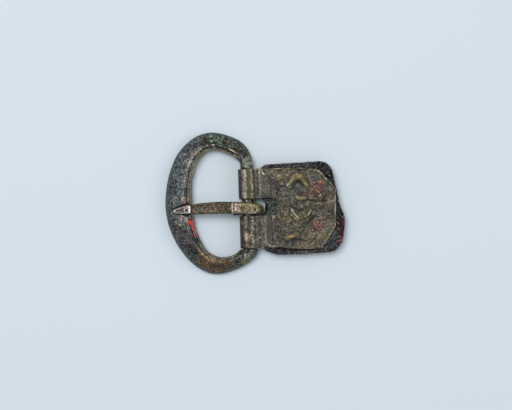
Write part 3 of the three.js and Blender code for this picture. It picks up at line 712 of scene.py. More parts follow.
for share, shift in ((0, 0.5), (0.5, 0.86), (1, 1)):
    tongue_rows.append([-TAIL_REACH * share, -TAIL_SHIFT * shift, tail_height, TONGUE_WIDTH * 0.86,
                        HOOK_THICKNESS])
spine = smooth_curve(tongue_rows, TONGUE_STEPS)
print("tongue rows:", len(tongue_rows), "stations:", len(spine))

# %% The tongue's skin
LEAF_START = -12.0
SIDE_POINTS = (5, 18, 5, 5, 3, 8, 3, 5)
CUT_PLACES = (-4.35, -2.85, -1.1, -0.75)
RING_X, RING_Y, RING_RADIUS = -12.95, -0.14, 0.42
HOLE_X, HOLE_Y, HOLE_RADIUS = 1.5, -0.5, 0.24
DOT_X = -4.45
bar_corners = np.array([[1, 0.35], [0.72, 1], [-0.72, 1], [-1, 0.35],
                        [-1, -0.45], [-0.8, -1], [0.8, -1], [1, -0.45]])
ring = np.vstack([mixed(bar_corners[i], bar_corners[(i + 1) % 8],
                        np.linspace(0, 1, n, endpoint=False)[:, None])
                  for i, n in enumerate(SIDE_POINTS)])
for _ in range(2):
    ring = (np.roll(ring, 1, 0) + 2 * ring + np.roll(ring, -1, 0)) / 4
ahead = np.gradient(spine[:, [0, 2]], axis=0)
ahead /= np.linalg.norm(ahead, axis=1)[:, None]
side, level = ring[:, 0], ring[:, 1]
run_x, run_z = ahead[:, 0][:, None], ahead[:, 1][:, None]
mid_x, mid_y, mid_z, width, thick = (spine[:, k][:, None] for k in range(5))
skin = np.stack([mid_x - run_z * level * thick / 2, mid_y - side * width / 2,
                 mid_z + run_x * level * thick / 2], axis=2)
per_ring, n_rings = len(ring), len(spine)
first_of_last = (n_rings - 1) * per_ring
faces = tube_faces(n_rings, per_ring, closed=False)
faces += [list(range(per_ring)), list(range(first_of_last, first_of_last + per_ring))[::-1]]

on_top = eased(level, 0.3, 0.95) * (run_x > 0.7)
x, y = skin[..., 0], skin[..., 1]
leaf = on_top * (x < LEAF_START)
blade = np.abs(side) * np.ones_like(x)
leaf_hollow = leaf * (1 - eased(blade, 0.4, 0.68)) * eased(x, -15.0, -14.2) * (1 - eased(x, -12.75, -12.45))
ring_away, hole_away = np.hypot(x - RING_X, y - RING_Y), np.hypot(x - HOLE_X, y - HOLE_Y)
stamp = bell(ring_away, 0, 0.24) * leaf_hollow
stamp_ring = bell(ring_away, RING_RADIUS, 0.1) * leaf
fuller = bell(side, 0, 0.13) * leaf * eased(x, -15.1, -14.7) * (1 - eased(x, -13.7, -13.5))
dip = 0.13 * leaf_hollow + leaf * 0.1 * eased(blade, 0.85, 1)
dip += stamp * 0.14 - stamp_ring * 0.05 + fuller * 0.06
dip += on_top * eased(x, LEAF_START, LEAF_START + 0.25) * (1 - eased(x, -11.2, -9.5)) * 0.1
shaft = on_top * eased(x, LEAF_START, LEAF_START + 0.5) * (1 - eased(x, -4.9, -4.5))
dip += shaft * 0.09 * (1 - eased(blade, 0.5, 0.72))
dip += on_top * sum(bell(x - at, 0.12 * blade ** 2, 0.11) for at in CUT_PLACES) * 0.08
dip += on_top * 0.24 * bell(hole_away, 0, HOLE_RADIUS)
dip += shaft * 0.07 * bell(np.hypot(x - DOT_X, y), RING_RADIUS, 0.12)
skin[..., 2] -= dip
tongue = new_piece("tongue_bar", skin.reshape(-1, 3), faces)
print("tongue:", len(tongue.data.polygons), "faces")

# %% Age the tongue
points, normals = shape_of(tongue)
clear = 1 - (np.abs(points[:, 0]) < 2.4) * (points[:, 2] < hinge[2] + BAR_RADIUS + HOOK_CLEARANCE + 0.3)
dents = noise(points, 1.3, 31, 2) * 0.04 + noise(points, 0.45, 32, 2) * 0.022
points += normals * (dents * clear)[:, None]
move_points(tongue, points)
x, y, upward = points[:, 0], points[:, 1], on_top.ravel()
sideways, levels = np.tile(side, n_rings), np.tile(level, n_rings)
side_share = np.abs(sideways)
leaf_end = LEAF_START - 0.6 * side_share ** 4
rounded_end = 1 - eased(x - leaf_end, -0.1, 0.1)
leaf_mark = leaf.ravel() * rounded_end
outward = eased(levels, 0.0, 0.5)
wine_places = [(-10.9, -0.05, 0.5), (-8.6, 0.1, 0.8), (-7.4, 0.3, 0.8), (-6.1, 0.25, 0.7),
               (-4.1, 0.2, 0.4), (-1.1, -0.1, 1.0), (0.3, -0.2, 0.8)]
edge_line = bell(side_share, 0.8, 0.14) * eased(levels, -0.1, 0.4)
on_block = eased(x, -3.5, -3.3)
leaf_outline = bell(x - leaf_end, -0.24, 0.14) + 1 - eased(x, -15.5, -15.0)
# painted highlights on the top of the block's step, along the block's lower edge and round its hole, and one
# pale spot
bright = (upward * bell(x, -3.22, 0.14) * 0.5 + on_block * edge_line * (sideways > 0) * (x < 1.8)
          + on_block * upward * bell(hole_away.ravel(), 0.4, 0.12) + spot(points, -2.6, 0.75, 0.7, 46) * 0.4)
set_marks(tongue, {
    "rim": edge_line * (1 - leaf_mark) * (0.65 + 0.35 * on_block),
    "block": outward * on_block * (points[:, 2] > hinge[2]) * 0.7,
    "bleached": upward * on_block * (1 - eased(x, -2.2, -1.0)) * 0.6,
    "wine": upward * np.max([spot(points, *place, 41 + i) for i, place in enumerate(wine_places)], axis=0)
    * (1 - 0.6 * on_block),
    "teal": upward * np.maximum(spot(points, -10.2, -0.2, 0.4, 49), spot(points, -9.6, 0.0, 0.4, 50)),
    # painted highlights on the block
    "bright": np.clip(bright, 0, 1) * 0.9,
    "leaf": leaf_mark,
    # painted light: the leaf's upper facet is made lighter than its lower one
    "facet": leaf_mark * eased(-sideways, 0.3, 0.6),
    "leafrim": np.clip(eased(levels, 0.1, 0.6) * rounded_end * eased(side_share, 0.5, 0.66)
                       + leaf_mark * leaf_outline + stamp_ring.ravel() * 0.8, 0, 1),
    "stamp": np.clip(stamp.ravel() * 1.2 + fuller.ravel() * 0.8, 0, 1),
    # darker in the dips at the shaft's end and on the block: the cross cuts, the punched ring and the hole
    "dark_in_dips": np.clip((dip * (x.reshape(dip.shape) > -4.6)).ravel() / 0.12, 0, 1),
    # painted shade on the tongue's lower sides and on all of it below the bar's axis
    "under": 1 - eased(levels, -0.5, 0.35) * (points[:, 2] > hinge[2]),
})
print("deepest dip in the tongue:", dip.max().round(3), "millimetres")

# %% The tongue's finish
finish, tree, shader, where = new_finish("rubbed tongue bronze")
brown = mottled(tree, where, (36, 31, 23), (74, 66, 48), (108, 99, 72), (150, 142, 108), (64, 52, 42),
                share=0.35)
golden = mottled(tree, where, (76, 68, 46), (122, 113, 82), (156, 147, 112), (206, 198, 162),
                 (104, 90, 70), share=0.4, grit=0.2)
steel = mottled(tree, where, (100, 84, 78), (150, 132, 124), (184, 168, 158), (220, 208, 198),
                (128, 108, 98), 800, 2600, 0.3)
bright = mottled(tree, where, (150, 140, 130), (206, 197, 182), (232, 224, 212), (250, 245, 236),
                 (184, 168, 152), 900, 2600, 0.4, 0.15)
silver = mottled(tree, where, (120, 112, 98), (176, 166, 148), (208, 198, 182), (238, 230, 216),
                 (150, 138, 120), 900, 2600, 0.5)
wine = mottled(tree, where, (34, 24, 22), (62, 45, 40), (96, 76, 64), (136, 116, 100), share=0.35)
lilac = mottled(tree, where, (66, 62, 64), (108, 102, 104), (146, 138, 138), (196, 188, 182),
                (94, 82, 84), 800, 2600, 0.3, 0.2)
colour, _ = layered(tree, where, brown, [
    ("rim", golden, (1500, 0.6)), ("block", golden, (1300, 0.5)), ("bleached", steel, (1500, 0.6)),
    ("wine", wine, (1300, 0.5)), ("teal", (54, 66, 70), (1600, 0.6), 0.7),
    # the facet layer is painted light on the leaf's upper facet
    ("bright", silver, (1700, 0.5)), ("leaf", lilac, SOFT, 0.9), ("facet", steel, (1500, 0.4)),
    ("leafrim", bright, (1700, 0.25)), ("stamp", (48, 40, 38), SOFT, 0.85),
    # the dark tone under the tongue is painted shade
    ("dark_in_dips", (52, 44, 36), SOFT, 0.7), ("under", (38, 34, 27), SOFT, 0.9),
])
finish_with(tree, shader, colour, height_of(brown), 0.8, 0.44, 0.65)
tongue.data.materials.append(finish)
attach(tongue, "tongue")
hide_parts("tongue")
print("tongue finish:", len(tree.nodes), "nodes")

# %% [markdown]
# ## The folded sheet plate
# One sheet of bronze is folded round the hinge bar and holds the strap between its two leaves. A slot in
# the fold leaves two knuckles, with the tongue's hook between them. The front leaf carries low ornament
# that was pressed into the sheet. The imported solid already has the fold, the slot and the outline, so a
# finer copy of it is remade in small even faces, and the front leaf's points are then lifted to a relief
# that is written as a height over the plan: a distance to each ridge's line, turned into a soft bump.

# %% A finer copy of the plate
PLATE_GRAIN = 0.125
LEAF_TOP, LEAF_BOTTOM = hinge[2] + 1.67, hinge[2] - 1.55
plate = finer_copy("hinge_plate", "folded_plate", PLATE_GRAIN)
print("plate:", len(plate.data.polygons), "faces")

# %% The relief on the front leaf
# Each ridge or groove: its half width, its height or depth, then the places that it passes
ridges = [
    (0.56, 0.26, [(8.8, 4.25), (9.3, 5.2), (10.0, 6.1)]),
    (0.88, 0.27, [(10.3, 6.1), (10.8, 6.2), (11.1, 6.1)]),
    (0.52, 0.24, [(11.3, 6.0), (12.0, 5.1), (12.55, 4.3)]),
    (0.52, 0.28, [(10.5, 1.7), (11.4, 1.6), (12.1, 1.52)]),
    (0.2, 0.2, [(9.15, -0.55), (9.9, -1.75), (10.7, -2.6), (11.3, -2.85)]),
    (0.5, 0.16, [(9.6, -2.2), (10.3, -3.0)]),
    (0.3, 0.24, [(11.9, -2.5), (12.6, -1.9), (13.1, -1.35), (13.3, -1.0)]),
    (0.13, 0.12, [(10.6, -1.4), (11.3, -2.0), (12.2, -0.9)]),
    (0.25, 0.18, [(6.4, -5.9), (7.0, -6.4), (7.7, -6.9), (8.3, -6.85)]),
    (0.55, 0.32, [(7.9, -6.8), (8.8, -6.4), (9.5, -6.15), (10.2, -5.85)]),
    (0.3, 0.14, [(10.3, -5.75), (10.9, -5.4), (11.65, -4.86)]),
    (0.2, 0.15, [(7.9, 2.5), (8.6, 1.4), (9.1, 0.3)]),
    (0.2, 0.13, [(7.4, 1.3), (8.0, 0.6), (8.5, 0.1)]),
    (0.22, 0.15, [(6.5, 3.3), (5.8, 2.6), (5.6, 1.5)]),
    (0.48, 0.2, [(7.0, 5.6), (7.4, 4.7)]),
    (0.5, 0.1, [(12.6, 3.7), (11.5, 3.2), (12.3, 2.6)]),
    (0.3, 0.12, [(6.6, -1.3), (6.5, -2.2), (7.4, -2.8), (7.9, -2.0)]),
    (0.18, 0.12, [(16.2, -2.6), (17.0, -2.0), (18.3, -1.5)]),
    (0.2, 0.1, [(14.2, -5.9), (13.4, -7.2), (12.9, -7.6)]),
    (0.5, 0.08, [(8.6, -3.8), (9.6, -4.2), (10.6, -4.0)]),
    (0.2, 0.14, [(15.1, 7.0), (15.9, 6.3)]),
    (0.18, 0.12, [(16.4, 5.8), (17.0, 5.2)]),
]
grooves = [
    (0.24, 0.14, [(12.5, 1.15), (13.8, 0.95), (16.6, 0.85)]),
    (0.4, 0.12, [(10.9, 2.5), (12.2, 2.55)]),
    (0.3, 0.08, [(10.8, 0.95), (12.4, 0.9)]),
    (0.16, 0.04, [(4.9, 6.8), (5.0, 1.9)]),
    (0.16, 0.08, [(5.0, -2.2), (4.9, -8.2)]),
    (0.3, 0.1, [(10.0, 4.6), (11.0, 5.0), (11.6, 4.4)]),
    (0.16, 0.09, [(8.1, 0.1), (8.9, -0.6), (8.6, -1.9)]),
    (0.3, 0.08, [(10.0, -0.7), (11.2, -1.1), (12.4, -0.6)]),
    (0.3, 0.07, [(8.3, -7.6), (10.2, -7.2), (12.2, -7.6)]),
    (0.3, 0.08, [(12.2, -3.9), (13.2, -3.4), (14.0, -2.6)]),
]


def relief(points):
    """The ornament's height over the flat leaf, and how strongly a ridge or a groove shows."""
    height = np.zeros(len(points))
    rough = noise(points, 1.5, 51, 2) * 0.07 + noise(points, 0.6, 52, 3) * 0.06
    raised, dark_feet_and_grooves = np.zeros(len(points)), np.zeros(len(points))
    wander = np.column_stack([noise(points, 1.1, 53), noise(points, 1.1, 54), np.zeros(len(points))]) * 0.1
    for half, tall, places in ridges:
        away, _ = nearest(points + wander, smooth_curve(places, 6))
        bump = 1 - eased(away, half * 0.55, half * 1.25)
        height = np.maximum(height, bump * tall * 0.65)
        raised = np.maximum(raised, bump * min(tall / 0.24, 1))
        # a darker ring round each ridge's foot
        foot = bell(away, half * 1.35, 0.18) * min(tall / 0.24, 1)
        dark_feet_and_grooves = np.maximum(dark_feet_and_grooves, foot * 0.45)
    for half, deep, places in grooves:
        away, _ = nearest(points + wander * 0.5, smooth_curve(places, 4))
        bump = 1 - eased(away, half * 0.3, half * 1.2)
        height -= bump * deep
        dark_feet_and_grooves = np.maximum(dark_feet_and_grooves, bump)
    return height + rough * (1 - 0.65 * raised), raised, dark_feet_and_grooves * (1 - raised)


print("ridges:", len(ridges), "grooves:", len(grooves))

# %% Press the ornament into the leaf
DEEPEST, HIGHEST = -0.18, 0.36
BEAD_HEIGHT, BEAD_PLACE, BEAD_HALF = 0.07, 0.28, 0.16
FOLD_RADIUS = 1.6
# Each wave of the fold: its place along the plate, its half width and its rise
FOLD_WAVES = ((-0.7, 0.5, 0.03), (0.3, 0.22, -0.04), (1.05, 0.3, 0.06), (1.6, 0.2, -0.09), (2.5, 0.4, 0.04))
plan_line = np.array([[1.5, 8.2], [11.44, 8.08], [15.38, 7.5], [18.75, 3.48], [18.53, -4.48], [15.5, -9.23],
                      [10.88, -9.11], [4.69, -8.59], [1.5, -8.68]])
rivet_places = [("rivet_inner", 6.84, 6.07, 0.8), ("rivet_outer_upper", 14.72, 3.44, 1.2),
                ("rivet_outer_lower", 14.81, -4.26, 1.2)]
points, normals = shape_of(plate)
to_edge, _ = nearest(points, plan_line)
on_leaf = (points[:, 2] > LEAF_TOP - 0.06) * eased(points[:, 0], 4.3, 5.0)
height, raised, dark_feet_and_grooves = relief(points)
near_rivet = np.min([np.hypot(points[:, 0] - px, points[:, 1] - py) - r for _, px, py, r in rivet_places],
                    axis=0)
height = mixed(np.minimum(height, -0.01), height, eased(near_rivet, 0.05, 0.4))
inland = eased(to_edge, 0.05, 0.3)
target = LEAF_TOP + np.clip(height, DEEPEST, HIGHEST) * inland
target += BEAD_HEIGHT * bell(to_edge, BEAD_PLACE, BEAD_HALF)
points[:, 2] = np.where(on_leaf > 0, mixed(points[:, 2], target, on_leaf), points[:, 2])
outside = np.hypot(points[:, 0], points[:, 2] - hinge[2]) > FOLD_RADIUS
soft = noise(points, 1.7, 55, 2) * 0.03 + noise(points, 0.5, 56, 2) * 0.018
folds = points[:, 0] + noise(points * [1, 0.45, 1], 1.4, 57, 2) * 0.18
for middle, half, rise in FOLD_WAVES:
    soft += rise * bell(folds, middle, half) * (points[:, 2] > hinge[2] + 0.8)
points += normals * (soft * outside * (1 - on_leaf) * (points[:, 2] > 0.4))[:, None]
move_points(plate, points)
print("relief from", target[on_leaf > 0.9].min().round(2), "to", target[on_leaf > 0.9].max().round(2))

# %% The plate's marks
# A place is x, y, size and seed, and a strength where that isn't 1
top_side = eased(normals[:, 2], 0.2, 0.7) * (points[:, 2] > hinge[2])
x, y = points[:, 0], points[:, 1]
red_places = [
    (13.9, 3.1, 1.1, 61, 0.8), (14.7, 4.2, 1.1, 66, 0.8), (15.2, 2.8, 1.1, 70, 0.75),
    (15.5, 4.7, 0.8, 88, 0.7), (13.2, 2.5, 0.7, 89, 0.6), (14.4, -4.1, 0.95, 62, 0.52),
    (15.1, -4.9, 0.85, 67, 0.48), (13.9, -3.5, 0.7, 90, 0.45), (15.4, -3.6, 0.7, 91, 0.38),
    (17.84, 2.35, 0.55, 63, 0.8), (17.6, 1.5, 0.5, 71, 0.7), (13.6, 7.2, 0.6, 68, 0.5),
    (11.3, -5.2, 0.8, 64, 0.45), (13.4, -7.0, 0.4, 69, 0.5), (6.9, -4.8, 0.7, 65, 0.3),
]
white_places = [
    (10.65, 1.62, 0.35, 72), (8.55, 4.45, 0.4, 73), (9.3, -6.35, 0.4, 74), (6.75, 5.35, 0.3, 75),
    (15.2, 7.1, 0.3, 76), (15.5, 6.8, 0.3, 92), (16.0, 6.5, 0.3, 77), (16.7, 5.6, 0.3, 93),
    (2.6, 7.2, 0.35, 78), (10.3, -7.9, 0.3, 79), (13.2, -1.1, 0.4, 80), (9.4, -0.9, 0.3, 81),
    (-0.5, -6.1, 0.8, 82), (1.4, -3.6, 0.6, 83), (1.5, -4.9, 0.5, 94), (2.3, -6.4, 0.4, 84),
    (17.2, -1.9, 0.3, 85), (4.4, -8.2, 0.4, 97),
]
slate_places = [
    (14.4, 6.1, 1.3, 101), (10.7, 3.9, 1.5, 102), (12.3, 3.3, 1.0, 103), (8.2, 2.0, 1.2, 104),
    (16.5, 4.8, 0.8, 105), (6.6, 4.6, 1.0, 106), (9.0, -7.9, 1.0, 107), (16.4, -5.6, 1.0, 108),
]
# painted highlights along a few ridges, on the lower right chamfer and by the upper knuckle
light_strokes = [[(3.1, 7.6), (3.7, 6.8)], [(15.1, 7.2), (15.8, 6.6)], [(16.1, 6.2), (16.9, 5.3)],
                 [(9.1, -0.55), (9.9, -1.75), (10.8, -2.8)], [(16.3, -8.2), (17.1, -6.9)],
                 [(12.6, -2.2), (13.2, -1.2)]]
rust_line = [(12.1, -7.7), (13.1, -6.9), (14.0, -5.7)]


def patches(places):
    return np.max([spot(points, *place[:4]) * (place[4] if len(place) > 4 else 1) for place in places],
                  axis=0)


def stripe(middle, half):
    """A stripe across the fold, for painted highlights and painted shade on the knuckles and bands of
    colour.
    """
    return bell(folds, middle, half) * top_side * (1 - on_leaf)


upper = eased(y, -1, 1)
lower = 1 - upper
to_stroke = np.min([nearest(points, line)[0] for line in light_strokes], axis=0)
rust = 1 - eased(nearest(points, rust_line)[0], 0.06, 0.2)
red = np.maximum(patches(red_places), rust * 0.55) * top_side
set_marks(plate, {
    "plum": eased(noise(points, 2.3, 59, 2), 0.02, 0.4) * on_leaf * 0.55,
    "teal": patches(slate_places) * on_leaf * 0.85,
    "olive": eased(noise(points, 2.1, 60, 2), 0.0, 0.45) * 0.9,
    "field": eased(x + noise(points, 1.6, 98, 2) * 1.2, 3.7, 5.4) * top_side,
    # painted highlights on the knuckles' curve and on the shoulder beyond them: a pale band, a pink band and
    # a gold band
    "pale_highlight": stripe(2.7, 0.35) * upper * 0.6 + stripe(3.65, 0.4) * lower * 0.5,
    "pink_highlight": stripe(-0.6, 0.62) * mixed(0.35, 0.9, upper),
    # pink patches on the lower knuckle, with a painted highlight along it
    "rosy": np.maximum(spot(points, -0.3, -6.3, 1.1, 95), spot(points, -1.0, -3.4, 1.0, 96) * 0.6)
    * top_side * 0.6 + stripe(-0.6, 0.8) * lower * 0.42,
    "ochre": stripe(0.28, 0.3) * upper * 0.8,
    # the gold band is a painted highlight, and so is a gold line along the top edge by the knuckle
    "gold_highlight": np.maximum(stripe(1.0, 0.28) * mixed(0.3, 1.0, upper),
                           bell(y, 8.1, 0.13) * (x < 2.2) * top_side * 0.8),
    "mottling": stripe(0.9, 0.5) * lower * 0.5,
    # painted shade in bands across the fold: the knuckles' left edge, the crease behind them and darker
    # bands on the sheet
    "fold_shade": stripe(1.62, 0.26) * mixed(0.4, 1, upper) + stripe(4.5, 0.35) * lower * 0.8
    + stripe(2.4, 0.5) * lower * 0.45 + stripe(3.5, 0.3) * upper * 0.3 + stripe(-1.75, 0.2) * 0.5,
    "raised": raised * on_leaf * (0.6 + 0.35 * eased(noise(points, 1.2, 58, 2), -0.4, 0.2)),
    "amber": np.maximum(spot(points, 9.2, -6.3, 1.2, 99), spot(points, 10.8, 6.4, 0.7, 100)) * raised
    * on_leaf * 0.72,
    # darker in the grooves and round the ridges' feet
    "dark_feet_and_grooves": dark_feet_and_grooves * on_leaf,
    "red": red,
    "crust": patches(red_places[:5]) * top_side,
    # painted highlight: a pale broken line along the plate's rounded edge
    "edge": bell(to_edge, 0.13, 0.12) * top_side * (x > 2.5) * (0.6 + 1.1 * noise(points, 1.1, 86, 2)),
    # painted highlight along the low step at the field's left edge, on the lower part of the plate
    "step": bell(x, 4.72, 0.1) * top_side * eased(-y, 5.8, 6.6) * 0.7,
    "strokes": (1 - eased(to_stroke, 0.03, 0.13)) * top_side * (0.85 + 0.4 * noise(points, 0.9, 109)),
    "white": patches(white_places) * 0.4 * top_side,
})
print("share of red points:", (red > 0.5).mean().round(3))

# %% The plate's finish
finish, tree, shader, where = new_finish("sheet bronze with brown patina")
field = mottled(tree, where, (34, 33, 28), (74, 72, 59), (102, 98, 80), (158, 150, 126), (58, 57, 52),
                share=0.15, grit=0.6)
plum = mottled(tree, where, (38, 34, 34), (72, 63, 59), (100, 89, 81), (152, 138, 122), (62, 55, 62),
               share=0.15, grit=0.6)
teal = mottled(tree, where, (38, 42, 40), (66, 72, 66), (92, 98, 89), (140, 142, 128), (56, 66, 68),
               share=0.15, grit=0.5)
smooth_olive = mottled(tree, where, (40, 41, 34), (74, 74, 62), (96, 95, 81), (134, 130, 111),
                       (68, 64, 54), 300, 1500, 0.05, 0.55)
golden = mottled(tree, where, (66, 60, 40), (114, 104, 74), (150, 138, 98), (200, 188, 146),
                 (100, 86, 58), share=0.3, grit=0.15)
gilt = mottled(tree, where, (84, 74, 52), (142, 130, 100), (186, 174, 144), (226, 216, 190),
               (120, 104, 74), 700, 2200, 0.4, 0.2)
rosy = mottled(tree, where, (74, 60, 50), (134, 116, 100), (172, 152, 136), (214, 196, 180),
               (106, 88, 72), 700, 2200, 0.4, 0.7)
amber = mottled(tree, where, (80, 64, 36), (132, 108, 64), (166, 140, 90), (210, 192, 146),
                (110, 84, 48), 700, 2200, 0.4, 0.4)
pinkish = mottled(tree, where, (100, 92, 84), (148, 139, 127), (176, 165, 152), (220, 210, 196),
                  (126, 116, 106), share=0.3, grit=0.3)
copper = mottled(tree, where, (46, 33, 31), (98, 60, 50), (162, 96, 72), (214, 150, 112),
                 (112, 72, 68), 900, 2400, 0.6)
colour, _ = layered(tree, where, field, [
    ("plum", plum, (1300, 0.9)), ("teal", teal, (1300, 0.9)), ("olive", golden, (900, 0.6), 0.35)])
for scale, line_width, broken, strength, line_tone in (
        (480, 0.022, 0.46, 0.75, (40, 36, 33)), (560, 0.016, 0.52, 0.6, (84, 62, 46)),
        (640, 0.018, 0.5, 0.65, (156, 146, 112))):
    inputs = {"Vector": where, "Scale": scale, "Width": line_width, "Broken": broken}
    thin = times(tree, use(tree, lines, inputs, "Mask"), strength)
    colour = blend_colours(tree, thin, colour, tone(*line_tone))
colour, _ = layered(tree, where, smooth_olive, [
    # the knuckles' pale, pink and gold bands are painted highlights
    ("field", colour, SOFT), ("pale_highlight", (118, 115, 98), (1100, 0.4)), ("pink_highlight", pinkish, (900, 0.5)),
    ("rosy", rosy, (1500, 0.7)), ("ochre", (88, 76, 46), SOFT, 0.8), ("gold_highlight", gilt, (1300, 0.5)),
    # the dark bands across the fold are painted shade
    ("mottling", (170, 162, 150), (2100, 1.2)), ("fold_shade", (50, 44, 44), SOFT, 0.6),
    # the dark tone in the grooves and round the ridges' feet
    ("raised", golden, (1500, 0.15)), ("amber", amber, (1500, 0.6)), ("dark_feet_and_grooves", (36, 32, 32), SOFT, 0.75),
    # the pale lines along the edge and the step are painted highlights
    ("red", copper, (1900, 0.7)), ("edge", (176, 164, 124), (1500, 0.45)), ("step", gilt, (1500, 0.5)),
    # the strokes are painted highlights
    ("strokes", (190, 180, 144), (1500, 0.75)), ("white", (196, 188, 164), (1900, 1.1)),
])
finish_with(tree, shader, colour, height_of(field), 1.0, 0.46, 0.55)
plate.data.materials.append(finish)
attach(plate, "plate")
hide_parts("hinge_plate")
print("plate finish:", len(tree.nodes), "nodes")

# %% [markdown]
# ## The strap remnant
# The leather is dry and dark, with a worn outline and a furry edge where its fibres have come loose. A
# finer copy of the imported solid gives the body. Its edge is pushed in and out with noise, apart from the
# notch behind the hook: that edge is clean and swells a little in its lower half, where the hook doesn't
# swing. The faces get the fine creases of old hide.

# %% A finer copy of the leather
LEATHER_GRAIN = 0.14
NOTCH_MIDDLE, NOTCH_RADIUS, NOTCH_SWELL = (2.125, 0), 1.925, 0.4
leather = finer_copy("strap_remnant", "strap_end", LEATHER_GRAIN)
points, normals = shape_of(leather)
outline = eased(1 - np.abs(normals[:, 2]), 0.3, 0.8) * (points[:, 0] > 3.0)
middle = 1 - np.abs(points[:, 2] - hinge[2]) / 1.1
from_middle = points[:, :2] - NOTCH_MIDDLE
middle_away = np.linalg.norm(from_middle, axis=1)
at_notch = 1 - eased(middle_away - NOTCH_RADIUS, 0.1, 0.6)
rag = noise(points * [1, 1, 0.5], 0.8, 71, 3) * 0.13 + noise(points, 0.3, 72, 2) * 0.07 - 0.05
rag = rag * (1 - at_notch) - 0.12 * (1 - middle) * outline
points += normals * (rag * outline + noise(points, 0.6, 73, 3) * 0.03 * (1 - outline) - 0.01)[:, None]
swell = NOTCH_SWELL * at_notch * (1 - eased(points[:, 2] - hinge[2], -0.1, 0.5))
swell *= eased(points[:, 0], 2.6, 3.4) * bell(points[:, 1], -0.2, 1.1)
points[:, :2] -= from_middle / middle_away[:, None] * swell[:, None]
move_points(leather, points)

x, y = points[:, 0], points[:, 1]
in_slot = (x < 7) * (np.abs(y) < 1.85) * (normals[:, 2] > 0.5)
from_notch = np.linalg.norm(points[:, :2] - NOTCH_MIDDLE, axis=1) - NOTCH_RADIUS
rust_places = [(19.7, -3.9, 1.1, 75), (19.7, -5.4, 1.2, 76), (19.5, -6.8, 1.2, 77), (19.2, -7.9, 1.1, 78)]
set_marks(leather, {
    # the slot's colour stops short of the notch, so the black hide left there is painted shade along the
    # notch's edge
    "slot": in_slot * eased(from_notch, 0.15, 0.32),
    "fray": outline * (from_notch > 0.6),
    "grey": spot(points, 17.6, -7.4, 2.6, 74) * (1 - outline),
    "dusty": np.maximum(eased(y, 7.6, 8.4) * (x < 14), eased(-y, 9.0, 9.8)) * 0.6,
    "rust": patches(rust_places),
})
print("leather:", len(leather.data.polygons), "faces")

# %% The leather's finish
leather_finish, tree, shader, where = new_finish("dry dark leather")
hide = mottled(tree, where, (7, 8, 10), (25, 27, 30), (66, 66, 65), (120, 116, 108), (32, 30, 32),
               600, 2200, 0.5)
felted = mottled(tree, where, (34, 33, 36), (72, 67, 68), (110, 104, 99), (152, 144, 133), (56, 50, 55),
                 600, 2400, 0.35)
dusty = mottled(tree, where, (42, 46, 50), (66, 71, 74), (92, 97, 99), (130, 134, 134))
rusty = mottled(tree, where, (20, 13, 12), (56, 34, 31), (100, 66, 60), (156, 122, 110), share=0.6)
sooty = mottled(tree, where, (40, 45, 42), (68, 76, 71), (94, 101, 93), (128, 130, 118), (66, 70, 76))
colour, _ = layered(tree, where, hide, [
    ("dusty", felted, (1300, 0.7)), ("grey", dusty, (1100, 0.5)), ("rust", rusty, (1500, 0.8)),
    ("slot", sooty, (1300, 0.3)),
])
finish_with(tree, shader, colour, height_of(hide), 1.0, 0.85, 0.0)
fill(tree, shader, {"Specular IOR Level": 0.2})
leather.data.materials.append(leather_finish)
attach(leather, "plate")
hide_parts("strap_remnant")
print("leather finish:", len(tree.nodes), "nodes")

# %% [markdown]
# The loose fibres are the same small shape repeated along the edge, which is work for Geometry Nodes.
# The tree scatters points on the faces that the fray mark selects, puts a bent fibre on each, turns it
# away from the surface with some disorder, and realises the result into one mesh.

# %% Helpers for Geometry Nodes
def grow_tree(name, inputs):
    """A geometry tree that takes a geometry and gives one back."""
    through = ("Geometry", "Geometry")
    return new_tree(name, "GeometryNodeTree", [(*through, None)] + inputs, [through])


def repeat_shape(tree, given, out, inputs):
    """Ends a tree: puts its shape on the points, makes one mesh of it all, and sets the material."""
    shape = put(tree, "GeometryNodeObjectInfo", {"Object": given["Shape"]})
    placed = put(tree, "GeometryNodeInstanceOnPoints", {"Instance": shape.outputs["Geometry"], **inputs})
    whole = put(tree, "GeometryNodeRealizeInstances", {"Geometry": placed.outputs["Instances"]})
    painted = put(tree, "GeometryNodeSetMaterial",
                  {"Geometry": whole.outputs["Geometry"], "Material": given["Material"]})
    fill(tree, out, {"Geometry": painted.outputs["Geometry"]})
    print("tree:", tree.name, "with", len(tree.nodes), "nodes")


def source_shape(name, points, faces):
    """A small shape at the origin that a tree repeats; it is removed when the tree has been used."""
    mesh = bpy.data.meshes.new(name)
    mesh.from_pydata(np.asarray(points) * MM, [], faces)
    return linked(name, mesh)


def grown(base, name, tree, values):
    """A new piece that a geometry tree makes from a base object's mesh."""
    piece = linked(name, base.data.copy())
    modifier = piece.modifiers.new("tree", "NODES")
    modifier.node_group = tree
    for item in tree.interface.items_tree:
        if item.in_out == "INPUT" and item.name in values:
            modifier[item.identifier] = values[item.name]
    return as_mesh(piece)


# %% The tree that scatters a shape where a mark is high
scatter, given, out = grow_tree("scatter a shape where marked", [
    ("Shape", "Object", None), ("Mark", "String", "fray"), ("Threshold", "Float", 0.5),
    ("Density", "Float", 1e6), ("Smallest", "Float", 0.5), ("Largest", "Float", 1.2),
    ("Lean", "Float", 0.6), ("Seed", "Int", 0), ("Material", "Material", None),
])
named = put(scatter, "GeometryNodeInputNamedAttribute", {"Name": given["Mark"]}, data_type="FLOAT")
chosen = put(scatter, "FunctionNodeCompare", {0: named.outputs["Attribute"], 1: given["Threshold"]},
             data_type="FLOAT", operation="GREATER_THAN")
spread = put(scatter, "GeometryNodeDistributePointsOnFaces", {
    "Mesh": given["Geometry"], "Selection": chosen.outputs["Result"],
    "Density": given["Density"], "Seed": given["Seed"]})
lean = put(scatter, "FunctionNodeRandomValue", {"Seed": given["Seed"]}, data_type="FLOAT_VECTOR")
